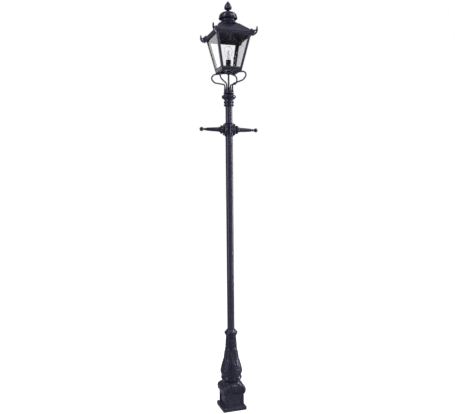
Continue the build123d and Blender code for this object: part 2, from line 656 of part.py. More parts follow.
def leaning_slab(z_low, z_high, side_in, deep, thick, turn=0):
    """Slab parallel to a lantern face. Its sides lie side_in from the corners and its outer surface
    lies deep inside the face. A turn of 0 is the back face and 90 the left one."""
    with BuildPart() as piece:
        for z in (z_low, z_high):
            half = lantern_half(z)
            with BuildSketch(turned_plane(z, turn)):
                with Locations((0, half - deep - thick / 2)):
                    Rectangle(2 * (half - side_in), thick)
        loft(ruled=True)
    return piece


for name, turn in (("left", 90), ("front", 180), ("right", 270)):
    glass = leaning_slab(BAR_FOOT_Z + PANE_GAP, EAVE_Z - PANE_GAP, PANE_EDGE, BAR_THICK, GLASS, turn)
    save(glass, f"glass_{name}")

ROOF_HALF = TOP_HALF + EAVE_OUT
with BuildPart() as eave:
    with BuildSketch(Plane.XY.offset(EAVE_Z)):
        Rectangle(2 * (ROOF_HALF - SHEET), 2 * (ROOF_HALF - SHEET))
        Rectangle(2 * (TOP_HALF - EAVE_IN), 2 * (TOP_HALF - EAVE_IN), mode=Mode.SUBTRACT)
    extrude(amount=EAVE_H)
save(eave, "eave_frame")

# ================================ lantern door ====================================================
DOOR_FOOT_Z = BAR_FOOT_Z + STILE_GAP
DOOR_TOP_Z = EAVE_Z - STILE_GAP
DOOR_SIDE = BAR_WIDE + STILE_GAP
HINGE_IN = BAR_WIDE - HINGE_BACK
LEAF_WIDE = HINGE_BACK + LEAF_LAND
hinge_foot = Vector(-(lantern_half(DOOR_FOOT_Z) - HINGE_IN), lantern_half(DOOR_FOOT_Z), DOOR_FOOT_Z)
FACE_NORMAL = Vector(0, 1, -LEAN).normalized()
HINGE_DIR = Vector(-LEAN, LEAN, 1).normalized()
HINGE_PLANE = Plane(origin=hinge_foot + FACE_NORMAL * HINGE_OFF, x_dir=FACE_NORMAL.cross(HINGE_DIR),
                    z_dir=HINGE_DIR)
DOOR_LONG = (DOOR_TOP_Z - DOOR_FOOT_Z) / HINGE_DIR.Z
HINGE_FEET = (DOOR_LONG * HINGE_SHARE, DOOR_LONG * (1 - HINGE_SHARE) - BARREL_LONG)


def hinge_leaf(width):
    """Section of a hinge barrel with a flat leaf that runs to one side on the lantern's face."""
    with BuildSketch() as leaf:
        Circle(BARREL_R)
        with Locations((width / 2, (LEAF_THICK - 2 * HINGE_OFF) / 2)):
            Rectangle(abs(width), LEAF_THICK)
        with Locations((width / abs(width) * BARREL_R / 2, -HINGE_OFF / 2)):
            Rectangle(BARREL_R, HINGE_OFF)
    return leaf.sketch


KNOB_Z = (DOOR_FOOT_Z + DOOR_TOP_Z) / 2
knob_spot = Vector(lantern_half(KNOB_Z) - DOOR_SIDE - STILE / 2, lantern_half(KNOB_Z), KNOB_Z)
KNOB_PLANE = Plane(origin=knob_spot, x_dir=(1, 0, 0), z_dir=FACE_NORMAL)

door_slab = leaning_slab(DOOR_FOOT_Z, DOOR_TOP_Z, DOOR_SIDE, 0, STILE_THICK)
door_light = leaning_slab(DOOR_FOOT_Z + STILE, DOOR_TOP_Z - STILE, DOOR_SIDE + STILE, -STILE_THICK,
                          3 * STILE_THICK)
with BuildPart() as door_frame:
    add(door_slab.part)
    add(door_light.part, mode=Mode.SUBTRACT)
    for foot in HINGE_FEET:
        with BuildSketch(HINGE_PLANE.offset(foot)):
            add(hinge_leaf(LEAF_WIDE))
        extrude(amount=BARREL_LONG)
        with BuildSketch(HINGE_PLANE.offset(foot)):
            Circle(HINGE_PIN_R + RUN_FIT)
        extrude(amount=BARREL_LONG, mode=Mode.SUBTRACT)
    with BuildSketch(KNOB_PLANE):
        Circle(KNOB_STEM_R + RUN_FIT)
    extrude(amount=-2 * STILE_THICK, mode=Mode.SUBTRACT)
save(door_frame, "lantern_door_frame")

with BuildPart() as hinge_lugs:
    for foot in HINGE_FEET:
        for low in (foot - LUG_GAP - LUG_LONG, foot + BARREL_LONG + LUG_GAP):
            with BuildSketch(HINGE_PLANE.offset(low)):
                add(hinge_leaf(1 - HINGE_IN))
            extrude(amount=LUG_LONG)
        with BuildSketch(HINGE_PLANE.offset(foot - LUG_GAP - LUG_LONG)):
            Circle(HINGE_PIN_R)
        extrude(amount=BARREL_LONG + 2 * (LUG_GAP + LUG_LONG))
save(hinge_lugs, "lantern_door_hinges")

door_pane = leaning_slab(DOOR_FOOT_Z + PANE_GAP, DOOR_TOP_Z - PANE_GAP, DOOR_SIDE + PANE_GAP,
                         STILE_THICK, GLASS)
with BuildPart() as door_glass:
    add(door_pane.part)
    with BuildSketch(KNOB_PLANE):
        Circle(KNOB_STEM_R + PANE_GAP)
    extrude(amount=-4 * STILE_THICK, mode=Mode.SUBTRACT)
save(door_glass, "lantern_door_glass")

with BuildPart() as catch:
    with BuildSketch(KNOB_PLANE.offset(LUG_GAP)):
        Circle(KNOB_R)
    extrude(amount=KNOB_PROUD)
    fillet(catch.edges().sort_by(Axis.Y)[-1], KNOB_ROUND)
    with BuildSketch(KNOB_PLANE.offset(LUG_GAP)):
        Circle(KNOB_STEM_R)
    extrude(amount=-(STILE_THICK + GLASS + 2 * LUG_GAP + LEAF_THICK))
    with BuildSketch(KNOB_PLANE.offset(-STILE_THICK - GLASS - LUG_GAP)):
        with Locations((0, -CATCH_REACH / 2)):
            Rectangle(2 * KNOB_STEM_R, CATCH_REACH)
    extrude(amount=-LEAF_THICK)
save(catch, "lantern_door_catch")

# ================================ roof, its lining and ornaments ==================================
FASCIA_Z = EAVE_Z + EAVE_H - FASCIA_LAP
ROOF_FOOT_Z = FASCIA_Z + FASCIA_H
roof_outside = hopper((ROOF_FOOT_Z, ROOF_HALF), (CURB_Z, CURB_HALF))
roof_inside = hopper((ROOF_FOOT_Z, ROOF_HALF - SHEET), (CURB_Z, CURB_HALF - 2 * SHEET))
with BuildPart() as roof:
    add(roof_outside)
    add(roof_inside, mode=Mode.SUBTRACT)
    with BuildSketch(Plane.XY.offset(FASCIA_Z)):
        Rectangle(2 * ROOF_HALF, 2 * ROOF_HALF)
        Rectangle(2 * (ROOF_HALF - SHEET), 2 * (ROOF_HALF - SHEET), mode=Mode.SUBTRACT)
    extrude(amount=FASCIA_H)
    with BuildSketch(Plane.XY.offset(CURB_Z - SHEET)):
        Rectangle(2 * (CURB_HALF - SHEET), 2 * (CURB_HALF - SHEET))
        Circle(CURB_HALF - 2 * SHEET, mode=Mode.SUBTRACT)
    extrude(amount=SHEET)
save(roof, "hipped_roof")

LINING_FOOT_Z = EAVE_Z + EAVE_H
LINING_HALF = TOP_HALF - LINING_IN
LINING_TOP_Z = CURB_Z - LINING_DROP
lining_outside = hopper((LINING_FOOT_Z, LINING_HALF), (LINING_TOP_Z, LINING_TOP_HALF))
lining_inside = hopper((LINING_FOOT_Z, LINING_HALF - 2 * SHEET),
                       (LINING_TOP_Z - SHEET, LINING_TOP_HALF - SHEET))
with BuildPart() as lining:
    add(lining_outside)
    add(lining_inside, mode=Mode.SUBTRACT)
save(lining, "roof_lining")

CORNER_R = ROOF_HALF * sqrt(2)
HIP_SLOPE = (CURB_Z - ROOF_FOOT_Z) / ((ROOF_HALF - CURB_HALF) * sqrt(2))
HORN_ROOT_R = CORNER_R - HORN_LAP
HORN_ROOT_Z = ROOF_FOOT_Z + HIP_SLOPE * HORN_LAP + SEAT_GAP
HORN_TAIL_Z = EAVE_Z - SEAT_GAP
HORN_CURL = [(-19, 56), (-4, 42), (12, 38), (22, 50), (33, 62), (38, 40), (31, 14), (18, -1),
             (4, -10), (-8, -12)]     # out from the roof's corner, above the corner bars' tops
for name, angle in CORNERS.items():
    with BuildPart() as horn:
        with BuildSketch(radial_plane(angle)):
            with BuildLine():
                curl = Spline((HORN_ROOT_R, HORN_ROOT_Z), *profile(HORN_CURL, CORNER_R, EAVE_Z, EAVE_Z + 1),
                              (CORNER_R - 10, HORN_TAIL_Z))
                Polyline(curl @ 1, (CORNER_R + SEAT_GAP, HORN_TAIL_Z),
                         (CORNER_R + SEAT_GAP, ROOF_FOOT_Z), curl @ 0)
            make_face()
            with Locations((CORNER_R + HORN_HOLE_OUT, EAVE_Z + HORN_HOLE_RISE)):
                Circle(HORN_HOLE_R, mode=Mode.SUBTRACT)
        extrude(amount=HORN_THICK / 2, both=True)
    save(horn, f"roof_horn_{name}")

# ================================ chimney and finial ==============================================
DOME_TOP_Z = CURB_Z + DOME_H
with BuildPart() as dome:
    with BuildSketch(Plane.XZ):
        with BuildLine():
            outside = Spline((CURB_HALF + DOME_OUT, CURB_Z),
                             (CURB_HALF + 0.8 * DOME_OUT, CURB_Z + 0.3 * DOME_H),
                             (CURB_HALF + 0.2 * DOME_OUT, CURB_Z + 0.6 * DOME_H),
                             (VENT_R + VENT_WALL, DOME_TOP_Z))
            Polyline(outside @ 1, (VENT_R - 2 * VENT_WALL, DOME_TOP_Z), (CURB_HALF - 2 * SHEET, CURB_Z),
                     outside @ 0)
        make_face()
    revolve(axis=Axis.Z)
save(dome, "dome_tier")

VENT_TOP_Z = DOME_TOP_Z + VENT_H
with BuildPart() as vent:
    with BuildSketch(Plane.XY.offset(DOME_TOP_Z)):
        Circle(VENT_R)
        Circle(VENT_R - VENT_WALL, mode=Mode.SUBTRACT)
    extrude(amount=VENT_TOP_Z - DOME_TOP_Z)
    with BuildSketch(Plane.XY.offset(VENT_TOP_Z - VENT_WALL)):
        Circle(VENT_R - VENT_WALL)
        Circle(STUD_R, mode=Mode.SUBTRACT)
    extrude(amount=VENT_WALL)
    with BuildSketch(Plane.XY.offset(DOME_TOP_Z + VENT_SLOT_H)):
        with PolarLocations(VENT_R - VENT_WALL / 2, VENT_SLOTS):
            Rectangle(2 * VENT_WALL, VENT_SLOT_WIDE)
    extrude(amount=VENT_SLOT_H, mode=Mode.SUBTRACT)
save(vent, "vent_collar")

HOOD_RIM_Z = CURB_Z + HOOD_RISE
HOOD_TOP_Z = NECK_Z + HOOD_NECK_H
HOOD_FLOOR_Z = HOOD_TOP_Z - HOOD_WALL
HOOD_OUTSIDE = [(1, 0), (0, 0.24), (-4, 0.52), (-14, 0.78), (-34, 1)]
HOOD_INSIDE = [(-2, 0), (-4, 0.24), (-10, 0.48), (-20, 0.7), (-36, 0.88)]
with BuildPart() as hood:
    with BuildSketch(Plane.XZ):
        with BuildLine():
            outside = Spline(*profile(HOOD_OUTSIDE, HOOD_R, HOOD_RIM_Z, NECK_Z), (HOOD_NECK_R, HOOD_TOP_Z))
            inside = Spline(*profile(HOOD_INSIDE, HOOD_R, HOOD_RIM_Z, NECK_Z), (HOOD_NECK_R, HOOD_FLOOR_Z))
            Line(outside @ 0, inside @ 0)
            Polyline(outside @ 1, (STUD_R, HOOD_TOP_Z), (STUD_R, HOOD_FLOOR_Z), inside @ 1)
        make_face()
        with Locations((HOOD_R - 1, HOOD_RIM_Z)):
            Circle(HOOD_ROLL_R)
    revolve(axis=Axis.Z)
save(hood, "chimney_hood")

STUD_FOOT_Z = VENT_TOP_Z - VENT_WALL - 2 * NUT_H
with BuildPart() as stud:
    with BuildSketch(Plane.XY.offset(STUD_FOOT_Z)):
        Circle(STUD_R)
    extrude(amount=HOOD_TOP_Z + STUD_SEAT - STUD_FOOT_Z)
    with BuildSketch(Plane.XY.offset(STUD_FOOT_Z + NUT_H)):
        RegularPolygon(HEX_NUT_R, 6)
    extrude(amount=NUT_H)
    with BuildSketch(Plane.XY.offset(VENT_TOP_Z)):
        Circle(HEX_NUT_R)
    extrude(amount=HOOD_FLOOR_Z - VENT_TOP_Z)
save(stud, "hood_stud")

FINIAL_SHAPE = [(-8, 0), (-9, 0.05), (-17, 0.12), (-11, 0.2), (-2, 0.28), (0, 0.38), (-2, 0.52),
                (-8, 0.68), (-16, 0.82), (-23, 0.93), (-28.5, 1)]
with BuildPart() as finial:
    with BuildSketch(Plane.XZ):
        with BuildLine():
            outside = Spline(*profile(FINIAL_SHAPE, FINIAL_R, HOOD_TOP_Z, TIP_Z))
            Polyline(outside @ 1, (0, TIP_Z), (0, HOOD_TOP_Z), outside @ 0)
        make_face()
    revolve(axis=Axis.Z)
    with BuildSketch(Plane.XY.offset(HOOD_TOP_Z)):
        Circle(STUD_R)
    extrude(amount=STUD_SEAT, mode=Mode.SUBTRACT)
save(finial, "finial")

# ================================ lamp ============================================================
HOLDER_MID_Z = HOLDER_Z + HOLDER_LOW_H
LAMP_Z = HOLDER_MID_Z + HOLDER_FLOOR
with BuildPart() as holder:
    with BuildSketch(Plane.XY.offset(HOLDER_Z)):
        Circle(HOLDER_LOW_R)
    extrude(amount=HOLDER_LOW_H)
    with BuildSketch(Plane.XY.offset(HOLDER_MID_Z)):
        Circle(HOLDER_R)
    extrude(amount=HOLDER_H)
    chamfer(holder.faces().sort_by(Axis.Z)[-1].edges(), 3)
    with BuildSketch(Plane.XY.offset(LAMP_Z)):
        Circle(HOLDER_R - HOLDER_WALL)
    extrude(amount=HOLDER_H, mode=Mode.SUBTRACT)
save(holder, "lampholder")

with BuildPart() as lamp_cap:
    with BuildSketch(Plane.XY.offset(LAMP_Z)):
        Circle(LAMP_CAP_R)
    extrude(amount=LAMP_CAP_H)
    chamfer(lamp_cap.faces().sort_by(Axis.Z)[0].edges(), 4)
save(lamp_cap, "lamp_cap")

GLASS_Z = LAMP_Z + LAMP_CAP_H
BULB_TOP_Z = GLASS_Z + BULB_LONG
BULB_SHAPE = [(-18, 0), (-15, 0.14), (-4, 0.43), (0, 0.68), (-8, 0.91)]
with BuildPart() as bulb:
    with BuildSketch(Plane.XZ):
        with BuildLine():
            outside = Spline(*profile(BULB_SHAPE, BULB_R, GLASS_Z, BULB_TOP_Z), (0, BULB_TOP_Z),
                             tangents=[(0, 1), (-1, 0)])
            Polyline(outside @ 1, (0, GLASS_Z), outside @ 0)
        make_face()
    revolve(axis=Axis.Z)
    offset(amount=-BULB_WALL, mode=Mode.SUBTRACT)
save(bulb, "bulb_glass")

with BuildPart() as filament:
    with BuildSketch(Plane.XY.offset(GLASS_Z + BULB_WALL)):
        Circle(2 * BULB_WALL)
        with PolarLocations(FILAMENT_RING_R, FILAMENTS):
            Circle(FILAMENT_R)
    extrude(amount=BULB_LONG * FILAMENT_SHARE)
    with BuildSketch(Plane.XY.offset(GLASS_Z + BULB_WALL)):
        Circle(FILAMENT_RING_R + 2 * FILAMENT_R)
    extrude(amount=2 * BULB_WALL)
save(filament, "bulb_filament")
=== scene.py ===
"""Looks of a Victorian street lamp post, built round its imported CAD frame.

Everything is in metres, in the CAD frame: +Z up, +X along the right-hand ladder bar, -Y the front.
"""
import bpy
import bmesh
import json
from math import atan2, cos, exp, pi, radians, sin, sqrt, tau
from mathutils import Matrix, Vector
from mathutils.bvhtree import BVHTree


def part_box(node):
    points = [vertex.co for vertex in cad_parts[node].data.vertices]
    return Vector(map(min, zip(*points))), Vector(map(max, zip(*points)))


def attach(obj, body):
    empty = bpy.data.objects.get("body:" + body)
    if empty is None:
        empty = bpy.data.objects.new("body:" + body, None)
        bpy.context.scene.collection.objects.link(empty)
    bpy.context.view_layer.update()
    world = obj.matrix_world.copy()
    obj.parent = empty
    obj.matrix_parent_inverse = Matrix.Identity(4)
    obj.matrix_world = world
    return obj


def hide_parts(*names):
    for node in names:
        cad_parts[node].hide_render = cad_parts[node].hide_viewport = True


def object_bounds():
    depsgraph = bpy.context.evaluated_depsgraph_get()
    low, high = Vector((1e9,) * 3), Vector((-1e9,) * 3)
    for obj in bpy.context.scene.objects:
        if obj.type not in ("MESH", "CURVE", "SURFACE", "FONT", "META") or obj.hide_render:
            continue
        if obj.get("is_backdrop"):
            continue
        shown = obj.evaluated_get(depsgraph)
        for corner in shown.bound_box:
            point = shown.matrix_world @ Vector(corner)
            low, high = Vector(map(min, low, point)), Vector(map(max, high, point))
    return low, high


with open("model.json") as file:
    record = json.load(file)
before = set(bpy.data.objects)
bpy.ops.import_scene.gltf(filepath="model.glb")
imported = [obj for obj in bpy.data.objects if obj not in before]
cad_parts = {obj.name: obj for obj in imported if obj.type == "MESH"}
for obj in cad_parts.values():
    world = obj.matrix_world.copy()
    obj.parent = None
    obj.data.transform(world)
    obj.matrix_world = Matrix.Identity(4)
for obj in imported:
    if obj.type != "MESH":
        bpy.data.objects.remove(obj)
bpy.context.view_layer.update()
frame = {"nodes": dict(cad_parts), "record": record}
MM = 0.001

# ================================ camera, floor and light =========================================
VIEW_TURN = radians(18.5)        # the camera stands this far round to the post's left
VIEW_AWAY = 4.307
VIEW_HIGH = 1.862
AIM_HIGH = 1.683                 # height on the post's axis that the lens axis passes
AIM_LEFT = 0.019                 # the lens axis passes this far left of the post's axis
VIEW_ROLL = radians(-0.55)
LENS = 41.1
SENSOR = 36.0
SWEEP_WHITE = 1.0                # brightness of the white sweep that the camera sees
FILL_LIGHT = 0.14                # brightness of the sweep as a light on the post
ZENITH_LIGHT = 0.35              # the same, straight overhead
COOL = (0.87, 0.86, 1.0)         # tint of the soft boxes and of the paint's sheen
WHITE = (1.0, 1.0, 1.0)
ZENITH_START = 0.2               # upward share of a direction at which the fill starts to brighten
FLOOR_GREY = (0.35, 0.35, 0.36)  # the floor's own colour, under the white that the camera sees
FLOOR_REACH = 60.0
LIGHTS = (                       # name, place, point aimed at, (width, height), watts, colour
    ("left_box", (-3.3, -0.9, 2.2), (0, 0, 1.6), (1.5, 3.8), 40, COOL),
    ("right_box", (3.4, -0.5, 2.2), (0, 0, 1.6), (0.7, 3.8), 125, COOL),
    ("front_box", (1.3, -3.6, 0.9), (0, 0, 0.9), (1.2, 1.6), 8, COOL),
    ("high_left", (-3.0, -1.2, 5.8), (0, 0, 2.4), (1.2, 2.0), 45, COOL),
    ("high_right", (3.0, -1.0, 5.8), (0, 0, 2.4), (1.2, 2.0), 70, COOL),
    ("hub_card", (1.25, -3.8, 2.85), (0, 0, 2.3), (1.6, 0.4), 9, COOL),
    ("arm_box", (1.5, -2.6, 5.2), (0, 0, 2.3), (1.4, 1.4), 24, COOL),
    ("back_card", (-1.7, 3.9, 3.35), (0, 0, 2.9), (1.3, 0.9), 4.2, WHITE),
)


def add_camera():
    """Camera at the photograph's angle."""
    data = bpy.data.cameras.new("camera")
    data.lens = LENS
    data.sensor_width = SENSOR
    data.clip_end = 200.0
    camera = bpy.data.objects.new("camera", data)
    bpy.context.scene.collection.objects.link(camera)
    place = Vector((-VIEW_AWAY * sin(VIEW_TURN), -VIEW_AWAY * cos(VIEW_TURN), VIEW_HIGH))
    right = Vector((cos(VIEW_TURN), -sin(VIEW_TURN), 0))
    aim = Vector((0, 0, AIM_HIGH)) - AIM_LEFT * right
    turn = (aim - place).to_track_quat("-Z", "Y").to_matrix() @ Matrix.Rotation(VIEW_ROLL, 3, "Z")
    camera.matrix_world = Matrix.Translation(place) @ turn.to_4x4()
    bpy.context.scene.camera = camera


def add_light(name, place, aim, size, power, colour):
    """Soft rectangular studio light."""
    data = bpy.data.lights.new(name, "AREA")
    data.shape = "RECTANGLE"
    data.size, data.size_y = size
    data.energy = power
    data.color = colour
    light = bpy.data.objects.new(name, data)
    bpy.context.scene.collection.objects.link(light)
    light.location = place
    light.rotation_euler = (Vector(aim) - Vector(place)).to_track_quat("-Z", "Y").to_euler()


def math_node(tree, operation, first, second):
    """Maths node on two inputs, each a socket or a number."""
    node = tree.nodes.new("ShaderNodeMath")
    node.operation = operation
    for socket, value in zip(node.inputs, (first, second)):
        if isinstance(value, (int, float)):
            socket.default_value = value
        else:
            tree.links.new(value, socket)
    return node.outputs["Value"]


def seen_directly(tree):
    """Factor that is 1 for rays straight from the camera or through glass and 0 for bounced light."""
    path = tree.nodes.new("ShaderNodeLightPath").outputs
    bounces = math_node(tree, "ADD", path["Diffuse Depth"], path["Glossy Depth"])
    return math_node(tree, "LESS_THAN", bounces, 0.5)


def add_world():
    """White all round as the camera sees it, and a dim fill, brighter overhead, as a light."""
    world = bpy.data.worlds.new("studio")
    world.use_nodes = True
    tree = world.node_tree
    background = tree.nodes["Background"]
    background.inputs["Color"].default_value = (*WHITE, 1)
    direction = tree.nodes.new("ShaderNodeTexCoord").outputs["Generated"]
    split = tree.nodes.new("ShaderNodeSeparateXYZ")
    tree.links.new(direction, split.inputs["Vector"])
    fill = tree.nodes.new("ShaderNodeMapRange")
    fill.inputs["From Min"].default_value = ZENITH_START
    fill.inputs["To Min"].default_value = FILL_LIGHT
    fill.inputs["To Max"].default_value = ZENITH_LIGHT
    tree.links.new(split.outputs["Z"], fill.inputs["Value"])
    strength = tree.nodes.new("ShaderNodeMix")
    tree.links.new(seen_directly(tree), strength.inputs["Factor"])
    tree.links.new(fill.outputs["Result"], strength.inputs["A"])
    strength.inputs["B"].default_value = SWEEP_WHITE
    tree.links.new(strength.outputs["Result"], background.inputs["Strength"])
    bpy.context.scene.world = world
    bpy.context.scene.view_settings.view_transform = "Standard"


def add_floor():
    """Floor at the post's foot, as white as the world where the camera sees it."""
    mesh = bpy.data.meshes.new("floor")
    corners = [(sx * FLOOR_REACH, sy * FLOOR_REACH, 0) for sx, sy in ((-1, -1), (1, -1), (1, 1), (-1, 1))]
    mesh.from_pydata(corners, [], [(0, 1, 2, 3)])
    floor = bpy.data.objects.new("floor", mesh)
    bpy.context.scene.collection.objects.link(floor)
    material = bpy.data.materials.new("floor_paper")
    material.use_nodes = True
    tree = material.node_tree
    shader = tree.nodes["Principled BSDF"]
    shader.inputs["Base Color"].default_value = (*FLOOR_GREY, 1)
    shader.inputs["Roughness"].default_value = 0.9
    shader.inputs["Emission Color"].default_value = (*WHITE, 1)
    glow = math_node(tree, "MULTIPLY", seen_directly(tree), SWEEP_WHITE)
    tree.links.new(glow, shader.inputs["Emission Strength"])
    mesh.materials.append(material)
    floor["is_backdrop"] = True


add_camera()
add_world()
add_floor()
for light_row in LIGHTS:
    add_light(*light_row)


# ================================ materials =======================================================
BLACK = (0.0075, 0.0078, 0.0190)
BLACK_LIGHT = (0.0140, 0.0142, 0.0320)
# colour of the painted highlight that lightens sharp edges
EDGE_HIGHLIGHT = (0.060, 0.056, 0.085)


def new_material(name):
    """Empty material with its principled shader and a helper's object coordinates."""
    material = bpy.data.materials.new(name)
    material.use_nodes = True
    tree = material.node_tree
    shader = tree.nodes["Principled BSDF"]
    coords = tree.nodes.new("ShaderNodeTexCoord")
    return material, tree, shader, coords.outputs["Object"]


def noise(tree, coords, scale, detail=4.0, rough=0.55):
    """Noise texture at a scale in repeats per metre."""
    node = tree.nodes.new("ShaderNodeTexNoise")
    node.inputs["Scale"].default_value = scale
    node.inputs["Detail"].default_value = detail
    node.inputs["Roughness"].default_value = rough
    tree.links.new(coords, node.inputs["Vector"])
    return node.outputs["Fac"]


def ramp(tree, factor, low, high, start=0.3, stop=0.7):
    """Colour ramp between two colours or greys."""
    node = tree.nodes.new("ShaderNodeValToRGB")
    for element, place, value in zip(node.color_ramp.elements, (start, stop), (low, high)):
        element.position = place
        element.color = (*value, 1) if hasattr(value, "__len__") else (value, value, value, 1)
    tree.links.new(factor, node.inputs["Fac"])
    return node.outputs["Color"]


def bump(tree, shader, height, distance, strength=1.0, previous=None):
    """Bump of a height field, distance in metres, chained after a previous bump."""
    node = tree.nodes.new("ShaderNodeBump")
    node.inputs["Distance"].default_value = distance
    node.inputs["Strength"].default_value = strength
    tree.links.new(height, node.inputs["Height"])
    if previous:
        tree.links.new(previous, node.inputs["Normal"])
    tree.links.new(node.outputs["Normal"], shader.inputs["Normal"])
    return node.outputs["Normal"]


def paint(name, dark, light, rough, grain, depth, wave=9.0, wave_depth=0.0, edge=EDGE_HIGHLIGHT):
    """Gloss paint over metal: colour drift, a painted highlight on sharp edges, roughness drift, orange
    peel or cast grain, a slow ripple and a coat."""
    material, tree, shader, coords = new_material(name)
    drift = ramp(tree, noise(tree, coords, 14.0), dark, light)
    # painted highlight: sharp edges, found by pointiness, are lightened in noisy patches towards the edge
    # colour
    ridge = tree.nodes.new("ShaderNodeNewGeometry").outputs["Pointiness"]
    edge_highlight = ramp(tree, ridge, 0.0, 1.0, 0.505, 0.56)
    patchy_edge_highlight = math_node(tree, "MULTIPLY", edge_highlight, noise(tree, coords, 55.0))
    mixed = tree.nodes.new("ShaderNodeMix")
    mixed.data_type = "RGBA"
    tree.links.new(patchy_edge_highlight, mixed.inputs["Factor"])
    tree.links.new(drift, mixed.inputs["A"])
    mixed.inputs["B"].default_value = (*edge, 1)
    tree.links.new(mixed.outputs["Result"], shader.inputs["Base Color"])
    tree.links.new(ramp(tree, noise(tree, coords, 38.0), *rough), shader.inputs["Roughness"])
    shader.inputs["Specular Tint"].default_value = (*COOL, 1)
    shader.inputs["Coat Weight"].default_value = 0.20
    shader.inputs["Coat Roughness"].default_value = 0.12
    first = bump(tree, shader, noise(tree, coords, grain, 3.0), depth, 0.25)
    if wave_depth:
        bump(tree, shader, noise(tree, coords, wave, 2.0), wave_depth, 0.5, first)
    return material


def glass(name, tint, rough, ripple, index=1.45):
    """Clear glass with a faint ripple and a trace of dust."""
    material, tree, shader, coords = new_material(name)
    tree.links.new(ramp(tree, noise(tree, coords, 22.0), tint, (1, 1, 1)), shader.inputs["Base Color"])
    haze = ramp(tree, noise(tree, coords, 60.0), rough, rough + 0.04)
    tree.links.new(haze, shader.inputs["Roughness"])
    shader.inputs["Transmission Weight"].default_value = 1.0
    shader.inputs["IOR"].default_value = index
    bump(tree, shader, noise(tree, coords, 16.0, 2.0), ripple, 0.5)
    return material


def plain(name, dark, light, rough, metal=0.0, grain=120.0, depth=0.0002):
    """Plastic, rubber, bare metal or enamel with drift in its colour and a fine grain."""
    material, tree, shader, coords = new_material(name)
    tree.links.new(ramp(tree, noise(tree, coords, 25.0), dark, light), shader.inputs["Base Color"])
    tree.links.new(ramp(tree, noise(tree, coords, 70.0), *rough), shader.inputs["Roughness"])
    shader.inputs["Metallic"].default_value = metal
    bump(tree, shader, noise(tree, coords, grain, 3.0), depth, 0.5)
    return material


def varnished_board(name):
    """Varnished board with long grain."""
    material, tree, shader, coords = new_material(name)
    wave = tree.nodes.new("ShaderNodeTexWave")
    wave.inputs["Scale"].default_value = 40.0
    wave.inputs["Distortion"].default_value = 6.0
    wave.inputs["Detail"].default_value = 3.0
    tree.links.new(coords, wave.inputs["Vector"])
    colour = ramp(tree, wave.outputs["Fac"], (0.20, 0.11, 0.05), (0.36, 0.23, 0.12), 0.1, 0.9)
    tree.links.new(colour, shader.inputs["Base Color"])
    tree.links.new(ramp(tree, wave.outputs["Fac"], 0.35, 0.5), shader.inputs["Roughness"])
    bump(tree, shader, wave.outputs["Fac"], 0.0002)
    return material


MATERIALS = {
    "black_cast_iron": paint("cast_iron_paint", BLACK, BLACK_LIGHT, (0.20, 0.30), 260.0, 0.0008,
                             30.0, 0.0012),
    "black_painted_steel": paint("steel_paint", BLACK, BLACK_LIGHT, (0.22, 0.30), 300.0, 0.00003,
                                 8.0, 0.00008),
    "black_painted_aluminium": paint("sheet_paint", BLACK, BLACK_LIGHT, (0.20, 0.30), 380.0, 0.0003,
                                     12.0, 0.0014),
    "pane_glass": glass("pane_glass", (0.965, 0.965, 0.985), 0.0, 0.0004),
    "bulb_glass": glass("bulb_glass", (0.98, 0.98, 0.98), 0.0, 0.0001, 1.10),
    "brass": plain("dull_brass", (0.42, 0.28, 0.09), (0.62, 0.44, 0.17), (0.3, 0.5), 1.0),
    "filament": plain("filament_wire", (0.50, 0.50, 0.52), (0.66, 0.66, 0.68), (0.35, 0.5), 0.6),
    "black_plastic": plain("black_plastic", (0.012, 0.012, 0.013), (0.022, 0.022, 0.024), (0.4, 0.55)),
    "board": varnished_board("varnished_board"),
    "cable_sheath": plain("cable_sheath", (0.02, 0.02, 0.02), (0.05, 0.05, 0.05), (0.6, 0.8)),
    "zinc_steel": plain("zinc_steel", (0.42, 0.43, 0.45), (0.58, 0.59, 0.60), (0.35, 0.5), 1.0),
}
NODE_SLOT = {row["node"]: row["material_slot"] for row in frame["record"]["subparts"]}


# ================================ mesh helpers ====================================================
def add_piece(name, verts, faces, slot, body, replaced=(), sharp=None):
    """Mesh piece in the frame's metres, with its material, body, slot and the nodes it stands for."""
    mesh = bpy.data.meshes.new(name)
    mesh.from_pydata([tuple(v) for v in verts], [], faces)
    work = bmesh.new()
    work.from_mesh(mesh)
    bmesh.ops.recalc_face_normals(work, faces=work.faces)
    work.to_mesh(mesh)
    work.free()
    return dress(name, mesh, slot, body, replaced, sharp)


def dress(name, mesh, slot, body, replaced=(), sharp=None):
    """Make a finished mesh a smooth piece, with edges above an angle in degrees kept sharp."""
    piece = bpy.data.objects.new(name, mesh)
    bpy.context.scene.collection.objects.link(piece)
    mesh.materials.clear()
    mesh.materials.append(MATERIALS[slot])
    mesh.shade_smooth()
    if sharp:
        mesh.set_sharp_from_angle(angle=radians(sharp))
    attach(piece, body)
    if replaced:
        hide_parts(*replaced)
    return piece


def smooth_line(points, steps):
    """Catmull-Rom curve through points, with steps spans between two of them."""
    points = [Vector(p) for p in points]
    ends = [2 * points[0] - points[1], *points, 2 * points[-1] - points[-2]]
    line = []
    for a, b, c, d in zip(ends, ends[1:], ends[2:], ends[3:]):
        for k in range(steps):
            t = k / steps
            line.append(0.5 * (2 * b + (c - a) * t + (2 * a - 5 * b + 4 * c - d) * t * t
                               + (3 * b - a - 3 * c + d) * t ** 3))
    line.append(points[-1])
    return line


def tree_of(node):
    """Search tree of a CAD node's surface."""
    mesh = frame["nodes"][node].data
    faces = [tuple(p.vertices) for p in mesh.polygons]
    return BVHTree.FromPolygons([v.co for v in mesh.vertices], faces)


def radius_at(tree, angle, z):
    """Distance from the post's axis to a surface seen from outside, or None."""
    out = Vector((cos(angle), sin(angle), 0))
    hit = tree.ray_cast(out + Vector((0, 0, z)), -out, 1.0)[0]
    return None if hit is None else hit.xy.length


def step(edge0, edge1, x):
    """Smooth step from 0 at edge0 to 1 at edge1."""
    t = min(1.0, max(0.0, (x - edge0) / (edge1 - edge0)))
    return t * t * (3 - 2 * t)


